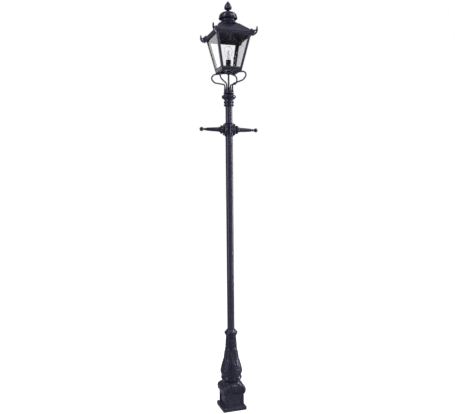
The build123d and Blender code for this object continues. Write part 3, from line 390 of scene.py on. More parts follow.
def grid_faces(rows, around, ring=False):
    """Faces between rows of points: the rows close into a ring, or are capped at both ends."""
    faces = []
    for row in range(rows if ring else rows - 1):
        here, there = row * around, (row + 1) % rows * around
        for k in range(around):
            far = (k + 1) % around
            faces.append((here + k, here + far, there + far, there + k))
    if not ring:
        faces.append(tuple(range(around))[::-1])
        faces.append(tuple(range((rows - 1) * around, rows * around)))
    return faces


def joined(meshes):
    """One list of vertices and one of faces from several closed meshes."""
    verts, faces = [], []
    for part_verts, part_faces in meshes:
        start = len(verts)
        verts += part_verts
        faces += [tuple(start + i for i in face) for face in part_faces]
    return verts, faces


def mm(points):
    """Points given in millimetres, in metres."""
    return [tuple(v * MM for v in point) for point in points]


def ring_grid(name, rows, around, slot, body, replaced, shape):
    """Skin round the post's axis, capped at both ends: shape(angle, row) gives (radius, z) in metres."""
    verts = []
    for row in range(rows):
        for k in range(around):
            angle = tau * k / around
            r, z = shape(angle, row)
            verts.append((r * cos(angle), r * sin(angle), z))
    return add_piece(name, verts, grid_faces(rows, around), slot, body, replaced)


END_INSET = 0.0004               # the outline is read this far inside a casting's ends


def casting(name, node, rows, around, relief, square=False, dip=None):
    """Skin of a CAD casting on the axis with relief on it: relief(angle, share, z) in metres, where
    share runs from 0 at the casting's foot to 1 at its top. Each relief uses the values that it needs.
    A round casting's outline is read once."""
    low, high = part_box(node)
    tree = tree_of(node)
    first, rise = low.z + END_INSET, high.z - low.z - 2 * END_INSET
    heights = [first + rise * k / (rows - 1) for k in range(rows)]
    rounds = {} if square else {k: radius_at(tree, 0.0, z) for k, z in enumerate(heights)}

    def shape(angle, row):
        z = heights[row]
        r = radius_at(tree, angle, z) if square else rounds[row]
        share = row / (rows - 1)
        if dip:
            z -= dip(angle, share)
        return r + relief(angle, share, z), z

    return ring_grid(name, rows, around, NODE_SLOT[node], "post", [node], shape)


def fuse(node, meshes, voxel):
    """One cast skin for a node on the post, from overlapping closed meshes."""
    name = node + "_skin"
    verts, faces = joined(meshes)
    mesh = bpy.data.meshes.new(name + "_rough")
    mesh.from_pydata([tuple(v) for v in verts], [], faces)
    rough = bpy.data.objects.new(name + "_rough", mesh)
    bpy.context.scene.collection.objects.link(rough)
    remesh = rough.modifiers.new("skin", "REMESH")
    remesh.mode = "VOXEL"
    remesh.voxel_size = voxel
    soft = rough.modifiers.new("soften", "SMOOTH")
    soft.iterations = 2
    soft.factor = 0.5
    done = bpy.data.meshes.new_from_object(rough.evaluated_get(bpy.context.evaluated_depsgraph_get()))
    bpy.data.objects.remove(rough)
    done.name = name
    return dress(name, done, NODE_SLOT[node], "post", [node])


def swept(line, sizes, side, sections=20):
    """Closed oval tube along points: sizes gives (half-width along side, half-height) at each point."""
    side = Vector(side).normalized()
    verts = []
    for k, point in enumerate(line):
        ahead = (line[min(k + 1, len(line) - 1)] - line[max(k - 1, 0)]).normalized()
        up = ahead.cross(side).normalized()
        wide, tall = sizes[k]
        for n in range(sections):
            turn = tau * n / sections
            verts.append(point + side * wide * cos(turn) + up * tall * sin(turn))
    return verts, grid_faces(len(line), sections)


def ball(centre, radii, rows=14, around=22):
    """Closed ellipsoid."""
    verts, faces = [], []
    for row in range(1, rows):
        tilt = pi * row / rows
        for k in range(around):
            turn = tau * k / around
            spot = Vector((radii[0] * sin(tilt) * cos(turn), radii[1] * sin(tilt) * sin(turn),
                           radii[2] * cos(tilt)))
            verts.append(Vector(centre) + spot)
    for row in range(rows - 2):
        for k in range(around):
            a, b = row * around + k, row * around + (k + 1) % around
            faces.append((a, a + around, b + around, b))
    faces.append(tuple(range(around)))
    faces.append(tuple(range((rows - 2) * around, (rows - 1) * around))[::-1])
    return verts, faces


# ================================ base castings ===================================================
def leaf(angle, z, centre, foot, tip, wide, teeth):
    """Height share, 0 to 1, of one acanthus leaf with toothed edges, a midrib and veins."""
    across = (angle - centre + pi) % tau - pi
    share = (z - foot) / (tip - foot)
    if not 0 < share < 1:
        return 0.0
    edge = wide * sin(pi * min(1.0, 0.22 + 0.78 * share)) ** 0.75
    edge *= 0.86 + 0.14 * cos(tau * teeth * share)
    side = abs(across) / max(edge, 1e-4)
    if side >= 1:
        return 0.0
    body = step(1.0, 0.72, side) * step(0.0, 0.06, share) * step(1.0, 0.93, share)
    rib = exp(-(side / 0.13) ** 2)
    vein = 0.5 + 0.5 * cos(tau * teeth * (share - 0.32 * side))
    return body * (0.52 + 0.30 * rib + 0.24 * vein * side)


BELL_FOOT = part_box("bell_casting")[0].z
BELL_LEAVES = 8
BELL_LEAF_FOOT = BELL_FOOT + 0.062
BELL_BACK_FOOT = BELL_FOOT + 0.084
BELL_FRONT_TIP = BELL_FOOT + 0.186
BELL_BACK_TIP = BELL_FOOT + 0.272
BELL_REED_FOOT = BELL_FOOT + 0.280
BELL_REED_TOP = BELL_FOOT + 0.382
BELL_BEADS = BELL_FOOT + 0.037
BELL_REEDS = 12


def bell_relief(angle, share, z):
    """Two rows of acanthus leaves round the bell, panelled reeds above and a bead ring below."""
    rise = 0.0                   # in millimetres
    turn = tau / BELL_LEAVES
    for k in range(BELL_LEAVES):
        back = leaf(angle, z, (k + 0.5) * turn, BELL_BACK_FOOT, BELL_BACK_TIP, 0.36, 6)
        front = leaf(angle, z, k * turn, BELL_LEAF_FOOT, BELL_FRONT_TIP, 0.40, 5)
        curl = step(BELL_FRONT_TIP - 0.030, BELL_FRONT_TIP - 0.010, z) if front else 0.0
        rise = max(rise, 4.6 * back, front * (6.5 + 2.6 * curl))
    if BELL_REED_FOOT < z < BELL_REED_TOP:
        place = (angle * BELL_REEDS / tau) % 1.0 - 0.5
        frame_line = step(0.44, 0.40, abs(place))
        frame_line *= step(BELL_REED_FOOT + 0.004, BELL_REED_FOOT + 0.008, z)
        frame_line *= step(BELL_REED_TOP - 0.004, BELL_REED_TOP - 0.008, z)
        rise -= 2.2 * frame_line
        bud = exp(-((place / 0.17) ** 2)) * (0.5 + 0.5 * cos(tau * (z - BELL_REED_FOOT) / 0.034))
        rise += 2.6 * bud * frame_line
    beads = exp(-((z - BELL_BEADS) / 0.007) ** 2)
    rise += beads * (0.5 + 0.5 * abs(cos(angle * 14)))
    collar = exp(-((z - BELL_REED_FOOT + 0.004) / 0.0030) ** 2)
    return (rise + 2.0 * collar) * MM


def cap_dip(angle, share):
    """How far the cap's skirt hangs below its underside: it drops at the four corners."""
    corner = abs(sin(2 * angle)) ** 3
    return 0.017 * corner * (1 - share) ** 4


def cap_relief(angle, share, z):
    """Scroll lobes at the corners of the plinth cap, a pendent leaf on each face, ribs between."""
    quarter = (angle + pi / 4) % (pi / 2) - pi / 4
    corner = pi / 4 - abs(quarter)
    lobe = exp(-(corner / 0.16) ** 2) * step(0.0, 0.10, share) * step(0.98, 0.62, share)
    scroll = 0.5 + 0.5 * cos(34 * sqrt(corner ** 2 * 6 + (share - 0.42) ** 2))
    centre = exp(-(quarter / 0.20) ** 2) * step(0.04, 0.22, share) * step(0.99, 0.80, share)
    groove = exp(-(quarter / 0.022) ** 2)
    ribs = 0.5 + 0.5 * cos(quarter * 26)
    middle = step(0.02, 0.2, share) * step(1.0, 0.7, share)
    edge = exp(-((share - 0.05) / 0.05) ** 2)
    top = exp(-((share - 0.95) / 0.035) ** 2)
    rise = 5.0 * lobe * (0.2 + 0.8 * scroll) + centre * (4.4 - 4.0 * groove) + 2.6 * middle * ribs
    return (rise + 1.4 * edge + 1.2 * top) * MM


def crown_relief(angle, share, z):
    """Ring of round petals at the crown's widest part, with fine flutes above."""
    belt = exp(-((share - 0.46) / 0.20) ** 2)
    flutes = step(0.62, 0.74, share) * step(1.0, 0.94, share)
    return (belt * 1.8 * (abs(cos(angle * 6)) - 0.6) + 0.8 * flutes * cos(angle * 18)) * MM


def head_relief(angle, share, z):
    """Gadroons on the head's big ring and a fine bead on its neck rings."""
    belt = exp(-((share - 0.75) / 0.060) ** 2)
    bead = exp(-((share - 0.33) / 0.022) ** 2) + exp(-((share - 0.10) / 0.022) ** 2)
    flutes = step(0.40, 0.44, share) * step(0.55, 0.51, share)
    return (0.3 * belt * cos(angle * 16) + 0.4 * bead * cos(angle * 26)
            + 0.6 * flutes * cos(angle * 12)) * MM


def finial_relief(angle, share, z):
    """Overlapping pointed leaves round the bud, flared at its foot."""
    if share < 0.20:
        return 0.9 * MM * cos(angle * 12) * step(0.16, 0.06, share)
    bud = (share - 0.20) / 0.80
    rise = 0.0
    for row, (foot, tip, wide) in enumerate(((0.0, 0.62, 0.50), (0.10, 0.92, 0.62))):
        for k in range(6):
            across = abs((angle - (k + row / 2) * tau / 6 + pi) % tau - pi)
            along = (bud - foot) / (tip - foot)
            if 0 < along < 1:
                edge = wide * (1 - along ** 2.2) ** 0.8
                body = step(1.0, 0.80, across / max(edge, 1e-3))
                rib = exp(-(across / 0.07) ** 2)
                rise = max(rise, body * (2.6 - row * 1.1) * (0.75 + 0.25 * rib) * step(0, 0.08, along))
    flare = exp(-((bud - 0.08) / 0.07) ** 2) * 1.6 * abs(cos(angle * 3))
    return (rise + flare - 1.6 * bud) * MM


casting("bell_skin", "bell_casting", 290, 320, bell_relief)
casting("plinth_cap_skin", "plinth_cap", 74, 288, cap_relief, square=True, dip=cap_dip)
casting("crown_skin", "bell_crown", 60, 192, crown_relief)
casting("head_skin", "head_casting", 140, 192, head_relief)
casting("finial_skin", "finial", 110, 144, finial_relief)


# ================================ tubes, ladder hub and bars ======================================
def revolved(outline, around=96, axis="Z", centre=(0, 0, 0), lobes=0):
    """Closed mesh turned about an axis from (radius, height) or (radius, height, lobe depth) points.
    An outline whose ends meet is a ring; any other is capped at both ends."""
    ring = tuple(outline[0]) == tuple(outline[-1])
    points = outline[:-1] if ring else outline
    verts = []
    for point in points:
        lobe = point[2] if len(point) > 2 else 0.0
        for k in range(around):
            turn = tau * k / around
            r = point[0] + lobe * cos(lobes * turn)
            spot = {"Z": (r * cos(turn), r * sin(turn), point[1]),
                    "X": (point[1], r * cos(turn), r * sin(turn)),
                    "Y": (r * sin(turn), point[1], r * cos(turn))}[axis]
            verts.append(Vector(spot) + Vector(centre))
    return verts, grid_faces(len(points), around, ring)


def turned_skin(name, node, outline, around=96, axis="Z", centre=(0, 0, 0), lobes=0):
    """Turned piece that stands for a CAD node on the post."""
    verts, faces = revolved(outline, around, axis, centre, lobes)
    return add_piece(name, verts, faces, NODE_SLOT[node], "post", [node], sharp=40)


BROKEN_EDGE = 0.0008
LOWER_WALL, UPPER_WALL = 0.0040, 0.0035


def drawn_tube(node, outer, wall):
    """Drawn steel tube with broken edges."""
    low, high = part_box(node)
    foot, top, inner, edge = low.z, high.z, outer - wall, BROKEN_EDGE
    turned_skin(node + "_skin", node,
                [(outer - edge, foot), (outer, foot + edge), (outer, top - edge), (outer - edge, top),
                 (inner, top), (inner, foot), (outer - edge, foot)], 144)


drawn_tube("lower_tube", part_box("lower_tube")[1].x, LOWER_WALL)
drawn_tube("upper_tube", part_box("upper_tube")[1].x, UPPER_WALL)

HUB_LOW, HUB_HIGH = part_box("ladder_hub")
LADDER_Z = (HUB_LOW.z + HUB_HIGH.z) / 2
HUB_END = HUB_HIGH.x


HUB_SLEEVE = mm([(31, -55), (36, -55), (38, -52), (38, -49), (36, -47), (36, 47), (38, 49), (38, 52),
                 (36, 55), (31, 55)])
HUB_BLOCKS = (                   # half length, centre along the bars, half depth, half height
    (0.0105, 0.0, 0.0325, 0.0445), (0.032, 0.0, 0.0300, 0.0385),
    (0.0050, 0.0398, 0.0345, 0.0460), (0.0050, -0.0398, 0.0345, 0.0460),
)
BLOCK_SIDES = 64
BLOCK_SQUARE = 0.35              # exponent that squares a block's round section
SCROLL_SPANS = 28
HUB_UP = Vector((0, 0, LADDER_Z))


def hub_block(half_x, centre_x, half_y, half_z):
    """Block along the bars with a section between a square and a circle."""
    outline = []
    for k in range(BLOCK_SIDES):
        turn = tau * k / BLOCK_SIDES
        outline.append((half_y * abs(cos(turn)) ** BLOCK_SQUARE * (1 if cos(turn) >= 0 else -1),
                        half_z * abs(sin(turn)) ** BLOCK_SQUARE * (1 if sin(turn) >= 0 else -1)))
    verts = [Vector((centre_x + x, y, z)) + HUB_UP for x in (-half_x, half_x) for y, z in outline]
    return verts, grid_faces(2, BLOCK_SIDES)


def hub_scroll(front, side):
    """Scroll of one panel of the hub, which winds inwards and thins as it goes."""
    line = []
    for k in range(SCROLL_SPANS + 1):
        turn = radians(35 + 290 * k / SCROLL_SPANS)
        shrink = 1 - 0.45 * k / SCROLL_SPANS
        line.append(HUB_UP + Vector((side * (0.0205 + 0.0085 * shrink * cos(turn)), front * 0.0300,
                                     0.026 * shrink * sin(turn))))
    sizes = [(0.0024 - 0.0008 * k / SCROLL_SPANS, 0.0040) for k in range(SCROLL_SPANS + 1)]
    return swept(line, sizes, (0, 1, 0), 12)


def hub_skin():
    """Cast hub: sleeve with beads, block with tall end flanges, an upright rib and scrolls."""
    meshes = [revolved([(r, LADDER_Z + z) for r, z in HUB_SLEEVE])]
    meshes += [hub_block(*row) for row in HUB_BLOCKS]
    for front in (-1, 1):
        rib = [HUB_UP + Vector((0, front * 0.0335, z)) for z in (-0.040, -0.02, 0, 0.02, 0.040)]
        meshes.append(swept(rib, [(0.0032, 0.0040)] * 5, (1, 0, 0)))
        for side in (-1, 1):
            meshes.append(hub_scroll(front, side))
            boss = HUB_UP + Vector((side * 0.0200, front * 0.0300, 0))
            meshes.append(ball(boss, (0.0034, 0.0055, 0.0100)))
            edge = [HUB_UP + Vector((side * 0.0445, front * 0.020, z)) for z in (-0.030, 0, 0.030)]
            meshes.append(swept(edge, [(0.0016, 0.0030)] * 3, (1, 0, 0), 12))
    fuse("ladder_hub", meshes, 0.0009)


hub_skin()

COLLAR_LOBES = 12
COLLAR = mm([(7.6, 0), (24, 0), (24, 2.5), (21, 4, 0), (21, 8), (26, 10.5), (30, 11.2), (31.5, 13, 0.6),
             (30, 14.6), (30, 15.4), (33.2, 16.5, 1.0), (34.2, 19, 1.0), (34.2, 24, 1.0),
             (33, 26.5, 1.0), (29.5, 27.6), (28.5, 29), (26, 31), (7.6, 31), (7.6, 0)])
ARM = smooth_line([(r, x, 0) for r, x in mm(
    [(20, 31), (21, 34), (21.4, 38), (20.6, 42), (18.8, 46), (18.2, 50), (17.9, 56), (16.6, 84),
     (15.0, 112), (13.2, 140), (12.4, 147.5)])], 4)
ARM_TIP = smooth_line([(r, x, 0) for r, x in mm(
    [(7.6, 151.5), (7.6, 154.5), (8.8, 156), (11.0, 158.5), (11.6, 161), (11.0, 163.5), (8.8, 166),
     (7.6, 167.5), (7.6, 171), (7.6, 180)])], 3)
BAR = [(7.5 * MM, -8 * MM), (7.5 * MM, 31 * MM), *[(p.x, p.y) for p in ARM],
       (10 * MM, 150 * MM), *[(p.x, p.y) for p in ARM_TIP]]
BALL_SPANS = 48
BALL_START = 0.9                 # spans between a ball's pole and its first ring

for side, name in ((-1, "left"), (1, "right")):
    outline = [(p[0], side * (HUB_END + p[1]), *p[2:]) for p in COLLAR]
    turned_skin(f"bar_collar_{name}_skin", "bar_collar_" + name, outline, 144, "X", (0, 0, LADDER_Z),
                COLLAR_LOBES)
    outline = [(r, side * (HUB_END + x)) for r, x in BAR]
    turned_skin(f"ladder_bar_{name}_skin", "ladder_bar_" + name, outline, 96, "X", (0, 0, LADDER_Z))
    low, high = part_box("bar_ball_" + name)
    centre, big = (low.x + high.x) / 2, (high.x - low.x) / 2
    shell = []
    for k in range(BALL_SPANS + 1):
        tilt = pi * (k + BALL_START) / (BALL_SPANS + 2.8)
        grooves = 0.0012 * exp(-((tilt - 0.62) / 0.07) ** 2), 0.0010 * exp(-((tilt - 2.45) / 0.07) ** 2)
        r = big - grooves[0] - grooves[1]
        shell.append((r * sin(tilt), centre + side * r * cos(tilt)))
    verts, faces = revolved(shell, 72, "X", (0, 0, LADDER_Z))
    add_piece(f"bar_ball_{name}_skin", verts, faces, NODE_SLOT["bar_ball_" + name], "post",
              ["bar_ball_" + name])


# ================================ cradle ==========================================================
def rounded_line(points, radii, steps=10):
    """Flat line through corner points with each inner corner rounded to a radius."""
    points = [Vector(p) for p in points]
    line = [points[0]]
    for before, corner, after, radius in zip(points, points[1:], points[2:], radii):
        back, on = (before - corner).normalized(), (after - corner).normalized()
        half = back.angle(on) / 2
        reach = radius / sin(half) * cos(half)
        middle = corner + (back + on).normalized() * radius / sin(half)
        start, stop = corner + back * reach - middle, corner + on * reach - middle
        sweep = start.angle(stop)
        for k in range(steps + 1):
            t = k / steps
            line.append(middle + (start * sin((1 - t) * sweep) + stop * sin(t * sweep)) / sin(sweep))
    line.append(points[-1])
    return line


SOCKET_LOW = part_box("cradle_socket")[0]
BOSS_LOW, BOSS_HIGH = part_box("cradle_boss")
CRADLE_Z = (BOSS_LOW.z + BOSS_HIGH.z) / 2
CORNERS = (("right_back", 45), ("left_back", 135), ("left_front", 225), ("right_front", 315))
LEG_OUT_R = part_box("cradle_leg_right_back")[1].x * sqrt(2) - 0.0085
ROOT_Z = SOCKET_LOW.z + 0.078
ROOT_R = 0.035                   # distance of a leg's root from the post's axis
ROD_R, ROOT_SWELL = 0.0060, 0.0034
ROOT_LONG = 0.070
ROD_SPAN = 0.006
LEG_LINE = rounded_line([(ROOT_R, SOCKET_LOW.z + 0.0004), (ROOT_R, ROOT_Z),
                         (LEG_OUT_R - 0.026, ROOT_Z + 0.024),
                         (LEG_OUT_R, ROOT_Z + 0.052), (LEG_OUT_R, CRADLE_Z - 0.016),
                         (LEG_OUT_R - 0.022, CRADLE_Z), (BOSS_HIGH.x, CRADLE_Z)],
                        [0.018, 0.036, 0.026, 0.021, 0.020])
for corner, degrees in CORNERS:
    out = Vector((cos(radians(degrees)), sin(radians(degrees)), 0))
    line = []
    for a, b in zip(LEG_LINE, LEG_LINE[1:]):
        spans = max(1, round((b - a).length / ROD_SPAN))
        line += [a + (b - a) * k / spans for k in range(spans)]
    line.append(LEG_LINE[-1])
    sizes = []
    for point in line:
        root = step(ROOT_LONG, 0.0, point.y - SOCKET_LOW.z) if point.x < 0.05 else 0.0
        sizes.append((ROD_R + ROOT_SWELL * root,) * 2)
    spots = [out * p.x + Vector((0, 0, p.y)) for p in line]
    node = "cradle_leg_" + corner
    side = out.cross(Vector((0, 0, 1)))
    add_piece(node + "_skin", *swept(spots, sizes, side, 24), NODE_SLOT[node], "post", [node], sharp=50)

socket = mm([(8, 0), (42, 0), (43, 1.2), (43, 7), (41.5, 9.5), (37, 10.5), (30, 12), (24, 15),
             (19.5, 20), (17, 26), (16, 33), (16.5, 38), (18, 40), (18, 43), (15.5, 45.5), (13, 46),
             (8, 46), (8, 0)])
turned_skin("cradle_socket_skin", "cradle_socket", [(r, SOCKET_LOW.z + z) for r, z in socket])

# ================================ hood and dome ===================================================
HOOD_LOW, HOOD_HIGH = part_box("chimney_hood")
RIM_Z = HOOD_LOW.z + 0.0045
ROLL_AWAY, ROLL_R = 0.0728, 0.0046
BEAD_AWAY, BEAD_R = 0.0240, 0.0022


def wire_outline(away, z, radius, steps):
    """Closed outline of a round wire that runs round the post's axis."""
    ring = [(away + radius * cos(tau * k / steps), z + radius * sin(tau * k / steps))
            for k in range(steps)]
    return ring + ring[:1]


hood_outside = smooth_line(mm([(75, 0, 0), (74.2, 12, 0), (70.4, 26, 0), (60.5, 39, 0), (40, 49.3, 0),
                               (22, 53, 0)]), 8)
hood_inside = smooth_line(mm([(22, 46, 0), (38, 44, 0), (54, 35, 0), (64, 24, 0), (70, 12, 0),
                              (72, 0, 0)]), 8)
hood = [(p.x, RIM_Z + p.y) for p in hood_outside] + [(0.005, HOOD_HIGH.z), (0.005, HOOD_HIGH.z - 0.007)]
hood += [(p.x, RIM_Z + p.y) for p in hood_inside]
hood.append(hood[0])
roll = wire_outline(ROLL_AWAY, RIM_Z, ROLL_R, 20)
bead = wire_outline(BEAD_AWAY, HOOD_HIGH.z - 0.0024, BEAD_R, 12)
verts, faces = joined([revolved(hood, 128), revolved(roll, 128), revolved(bead, 96)])
add_piece("chimney_hood_skin", verts, faces, NODE_SLOT["chimney_hood"], "post", ["chimney_hood"],
          sharp=50)

DOME_LOW, DOME_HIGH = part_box("dome_tier")
dome_outside = smooth_line(mm([(86, 0, 0), (86.5, 2.5, 0), (84.5, 4.5, 0), (82.4, 7.8, 0), (77, 12.5, 0),
                               (71.6, 15.6, 0), (63.5, 21, 0), (57, 25.9, 0)]), 6)
dome = [(p.x, DOME_LOW.z + p.y) for p in dome_outside]
dome += [(0.048, DOME_HIGH.z), (0.063, DOME_LOW.z), dome[0]]
turned_skin("dome_tier_skin", "dome_tier", dome, 128)

# ================================ roof trim and horns =============================================
ROOF_LOW, ROOF_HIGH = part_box("hipped_roof")
EAVE_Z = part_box("eave_frame")[0].z
ROOF_FOOT_Z = ROOF_LOW.z + 0.016
ROOF_HALF = ROOF_HIGH.x
CURB_HALF = 0.068
LANTERN_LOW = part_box("lantern_bottom_frame")[0].z
TRAY_HALF = 0.084                # half-width of the lantern's bottom frame at its foot
LEAN = (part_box("corner_bar_right_back")[1].x - TRAY_HALF) / (EAVE_Z - LANTERN_LOW)
CORNER_SIGNS = ((1, 1), (-1, 1), (-1, -1), (1, -1))
HIP_FOOT, HIP_TOP = 0.155, 0.067  # half-widths of the roof where its hip rolls start and end
RIB_APART = 0.045                # at the curb
RIB_SPREAD = 2.1                 # how many times farther apart the ribs are at the eave
UP = Vector((0, 0, 1))


def closed_bead(spots, out, radius, sections=12):
    """Round bead along a closed flat line of points, in a plane whose normal is out."""
    verts = []
    for k, spot in enumerate(spots):
        ahead = (spots[(k + 1) % len(spots)] - spots[k - 1]).normalized()
        flat = ahead.cross(out).normalized()
        for n in range(sections):
            turn = tau * n / sections
            verts.append(spot + flat * radius * cos(turn) + out * radius * sin(turn))
    return verts, grid_faces(len(spots), sections, ring=True)


def square_bead(half, z, radius, corner=0.004):
    """Round bead, half of it sunk, round an upright square frame."""
    spots = []
    for quarter in range(4):
        for k in range(7):
            turn = pi / 2 * (quarter + k / 6)
            centre = Vector(((half - corner) * (1 if cos(pi / 2 * quarter + pi / 4) > 0 else -1),
                             (half - corner) * (1 if sin(pi / 2 * quarter + pi / 4) > 0 else -1), z))
            spots.append(centre + corner * Vector((cos(turn), sin(turn), 0)))
    return closed_bead(spots, UP, radius)


def straight_bead(start, stop, radius, sections=12):
    """Round bead between two points with tapered ends."""
    start, stop = Vector(start), Vector(stop)
    side = (stop - start).cross(UP)
    if side.length < 1e-6:
        side = Vector((1, 0, 0))
    shares = (0, 0.02, 0.06, 0.5, 0.94, 0.98, 1)
    sizes = [(radius * w, radius * w) for w in (0.4, 0.85, 1, 1, 1, 0.85, 0.4)]
    return swept([start.lerp(stop, s) for s in shares], sizes, side, sections)


roof_trim = [square_bead(ROOF_HALF + 0.0005, ROOF_LOW.z + 0.002, 0.0022),
             square_bead(ROOF_HALF + 0.0005, ROOF_FOOT_Z - 0.0010, 0.0026),
             square_bead(CURB_HALF + 0.0010, ROOF_HIGH.z - 0.0020, 0.0030, 0.010)]
for sx, sy in CORNER_SIGNS:
    roof_trim.append(straight_bead((sx * HIP_FOOT, sy * HIP_FOOT, ROOF_FOOT_Z + 0.0035),
                                   (sx * HIP_TOP, sy * HIP_TOP, ROOF_HIGH.z - 0.001), 0.0044, 16))
    if sx < 0:
        continue
    for k in (-1, 0, 1):         # one rib on the slope towards y and one on the slope towards x
        x = k * RIB_APART
        low = Vector((x * RIB_SPREAD, sy * ROOF_HALF, ROOF_FOOT_Z))
        high = Vector((x, sy * CURB_HALF, ROOF_HIGH.z))
        roof_trim.append(straight_bead(low, high, 0.0016))
        roof_trim.append(straight_bead((low.y, low.x, low.z), (high.y, high.x, high.z), 0.0016))
add_piece("roof_trim", *joined(roof_trim), NODE_SLOT["hipped_roof"], "post")

CORNER_R = ROOF_HALF * sqrt(2)


def horn_skin(corner, degrees):
    """Cast horn on a roof corner: a leaf-edged curl that turns up round an open eye."""
    out = Vector((cos(radians(degrees)), sin(radians(degrees)), 0))
    side = out.cross(UP)

    def spot(away, up):
        return out * (CORNER_R + away * MM) + Vector((0, 0, EAVE_Z + up * MM))

    def strand(points, sizes, steps=5):
        line = smooth_line([spot(*p) for p in points], steps)
        spread = []
        for (a, b), (c, d) in zip(sizes, sizes[1:]):
            spread += [((a + (c - a) * k / steps) * MM, (b + (d - b) * k / steps) * MM)
                       for k in range(steps)]
        spread.append((sizes[-1][0] * MM, sizes[-1][1] * MM))
        return swept(line, spread, side, 16)

    meshes = [strand([(-10, -3), (4, 1), (15, 6), (25, 13), (31, 25), (32, 38), (32.5, 50), (32.5, 63)],
                     [(7.5, 8), (7, 7), (6.5, 5.5), (6.5, 5.5), (7.5, 6), (8, 6.5), (7, 6), (3.6, 3.4)]),
              strand([(-20, 50), (-10, 42), (0, 35), (10, 32), (20, 33), (30, 36)],
                     [(5, 5), (5.5, 6), (5.5, 5.5), (5, 4.5), (4.5, 4), (4, 4)]),
              strand([(-7, -4), (-5, 14), (-7, 36)], [(7, 6), (7, 8), (6.5, 7)]),
              strand([(4, 6), (5, 18), (6, 30)], [(5.5, 5), (5.5, 4.5), (5.5, 5)]),
              strand([(22, 34), (27, 42), (33, 48)], [(3.6, 3.4), (3.4, 3), (3, 3)])]
    for away, up, size in ((30, 11, 4.2), (37, 26, 3.8), (19, 2, 4.0), (8, 37, 4.2), (38, 41, 3.2)):
        meshes.append(ball(spot(away, up), (size * MM,) * 3))
    for face in (-1, 1):
        ring = [spot(18 + 8.4 * cos(tau * k / 24), 22 + 8.4 * sin(tau * k / 24)) + side * face * 0.0050
                for k in range(25)]
        meshes.append(swept(ring, [(0.0026, 0.0024)] * 25, side, 10))
    fuse("roof_horn_" + corner, meshes, 0.0008)


for corner, degrees in CORNERS:
    horn_skin(corner, degrees)


# ================================ lantern trim ====================================================
def lantern_half(z):
    """Outside half-width of the glazed body at a height."""
    return TRAY_HALF + LEAN * (z - LANTERN_LOW)


def button_head(place, out, radius=0.0030):
    """Domed screw head with a socket, its seat at place and its axis along out."""
    outline = [(radius * r, radius * h) for r, h in
               ((0.30, -0.2), (1.0, -0.2), (1.0, 0.12), (0.93, 0.32), (0.78, 0.50), (0.58, 0.60),
                (0.42, 0.62), (0.38, 0.30), (0.10, 0.26))]
    verts, faces = revolved(outline, 20)
    turn = UP.rotation_difference(Vector(out).normalized())
    return [turn @ v + Vector(place) for v in verts], faces


BAR_FOOT_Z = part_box("lantern_bottom_frame")[1].z
DOOR_FACE = 1                    # quarter turn of the back, which is the lantern's door
SUNK = 0.0002                    # a screw head's seat is this far inside its surface
PUTTY_SUNK = 0.0018
TRAY_SCREW_Z = LANTERN_LOW + 0.014
lantern_trim = [square_bead(lantern_half(LANTERN_LOW + 0.0025), LANTERN_LOW + 0.0025, 0.0024),
                square_bead(lantern_half(BAR_FOOT_Z - 0.0030), BAR_FOOT_Z - 0.0030, 0.0020)]
screws, putty = [], []
for turn in range(4):
    out = Vector((cos(pi / 2 * turn), sin(pi / 2 * turn), 0))
    across = Vector((-out.y, out.x, 0))
    lean_out = (out - Vector((0, 0, LEAN))).normalized()
    if turn != DOOR_FACE:
        for z in (BAR_FOOT_Z + 0.012, EAVE_Z - 0.014):
            half = lantern_half(z)
            for side in (-1, 1):
                place = out * (half - SUNK) + across * side * (half - 0.009) + Vector((0, 0, z))
                screws.append(button_head(place, lean_out))
    for share in (-0.62, 0.0, 0.62):
        half = lantern_half(TRAY_SCREW_Z)
        screws.append(button_head(out * (half - SUNK) + across * half * share
                                  + Vector((0, 0, TRAY_SCREW_Z)), lean_out))
        screws.append(button_head(out * (ROOF_HALF - SUNK) + across * ROOF_HALF * share * 1.2
                                  + Vector((0, 0, ROOF_LOW.z + 0.0085)), out, 0.0026))
    if turn != DOOR_FACE:
        for side in (-1, 1):
            ends = [out * (lantern_half(z) - PUTTY_SUNK) + across * side * (lantern_half(z) - 0.0188)
                    + Vector((0, 0, z)) for z in (BAR_FOOT_Z + 0.002, EAVE_Z - 0.002)]
            putty.append(straight_bead(*ends, 0.0013))
        for z in (BAR_FOOT_Z + 0.0030, EAVE_Z - 0.0030):
            half, reach = lantern_half(z) - PUTTY_SUNK, lantern_half(z) - 0.0180
            ends = [out * half + across * side * reach + Vector((0, 0, z)) for side in (-1, 1)]
            putty.append(straight_bead(*ends, 0.0014))
add_piece("lantern_frame_beads", *joined(lantern_trim), NODE_SLOT["lantern_bottom_frame"], "post")
add_piece("lantern_screws", *joined(screws), NODE_SLOT["eave_frame"], "post", sharp=45)
add_piece("pane_putty", *joined(putty), NODE_SLOT["eave_frame"], "post")


# ================================ plinth trim =====================================================
PLINTH_HALF = 0.082
FOOT_HALF, FOOT_HIGH = 0.098, 0.024
ANCHOR_AWAY = 0.089              # of an anchor hole from the post's axis, each way
LOCK_Z = 0.078
PANEL_HALF = 0.064
SHOULDER = 0.012                 # width of the step on each side of the panel's arch
PANEL_FOOT, PANEL_SHOULDER, PANEL_CROWN = 0.038, 0.100, 0.122
PANEL_SPAN = 0.004


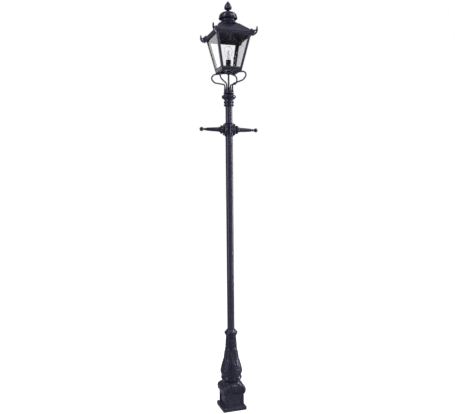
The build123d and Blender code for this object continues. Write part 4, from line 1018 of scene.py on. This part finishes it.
def arched_outline(inset, steps=20):
    """Points (across, height) of the arched panel's edge, drawn in by an inset in metres."""
    half, spring = PANEL_HALF - inset, PANEL_HALF - SHOULDER - inset
    foot, shoulder, crown = PANEL_FOOT + inset, PANEL_SHOULDER - inset, PANEL_CROWN - inset
    rise = crown - shoulder
    radius = (spring ** 2 + rise ** 2) / (2 * rise)
    reach = atan2(spring, radius - rise)
    turns = [reach * (2 * k / steps - 1) for k in range(steps + 1)]
    arc = [(radius * sin(turn), crown - radius + radius * cos(turn)) for turn in turns]
    corners = [(half, shoulder), (half, foot), (-half, foot), (-half, shoulder)]
    line = arc + corners + [arc[0]]
    full = []
    for (x0, z0), (x1, z1) in zip(line, line[1:]):
        spans = max(1, round(sqrt((x1 - x0) ** 2 + (z1 - z0) ** 2) / PANEL_SPAN))
        full += [(x0 + (x1 - x0) * k / spans, z0 + (z1 - z0) * k / spans) for k in range(spans)]
    return full


def panel_bead(turn, inset, depth, radius):
    """Round bead, half of it sunk, along an arched panel on the face turned by quarter turns."""
    out = Vector((cos(pi / 2 * turn), sin(pi / 2 * turn), 0))
    across = Vector((-out.y, out.x, 0))
    spots = [out * depth + across * x + Vector((0, 0, z)) for x, z in arched_outline(inset)]
    return closed_bead(spots, out, radius)


plinth_trim = [panel_bead(turn, -0.0026, PLINTH_HALF + 0.0004, 0.0022) for turn in range(4)]
plinth_trim += [panel_bead(turn, 0.012, PLINTH_HALF - 0.0062, 0.0018) for turn in (0, 1, 2)]
plinth_trim.append(square_bead(PLINTH_HALF + 0.0016, FOOT_HIGH + 0.0010, 0.0042, 0.010))
plinth_trim.append(square_bead(FOOT_HALF, FOOT_HIGH - 0.0006, 0.0026, 0.010))
lug = mm([(5.6, -2), (11.4, -2), (11.6, 2.2), (10.6, 3.8), (8.8, 4.4), (6.6, 4.2), (5.8, 3.4),
          (5.6, -2)])
lug = [(r, FOOT_HIGH + z) for r, z in lug]
for sx, sy in CORNER_SIGNS:
    plinth_trim.append(revolved(lug, 48, "Z", (sx * ANCHOR_AWAY, sy * ANCHOR_AWAY, 0)))
add_piece("plinth_trim", *joined(plinth_trim), NODE_SLOT["plinth"], "post", sharp=50)

TRIM_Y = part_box("access_door")[0].y + 0.0022
door_trim = [panel_bead(3, 0.0105, -TRIM_Y, 0.0015)]
ring = mm([(8.7, 0), (11.4, 0), (11.4, 0.8), (10.6, 1.7), (9.4, 1.8), (8.7, 1.2), (8.7, 0)])
door_trim.append(revolved([(r, TRIM_Y - h) for r, h in ring], 48, "Y", (0, 0, LOCK_Z)))
add_piece("access_door_trim", *joined(door_trim), NODE_SLOT["access_door"], "access_door", sharp=45)

# ================================ CAD nodes with no piece of their own ============================
for node, item in frame["nodes"].items():
    item.data.materials.clear()
    item.data.materials.append(MATERIALS[NODE_SLOT[node]])

low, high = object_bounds()
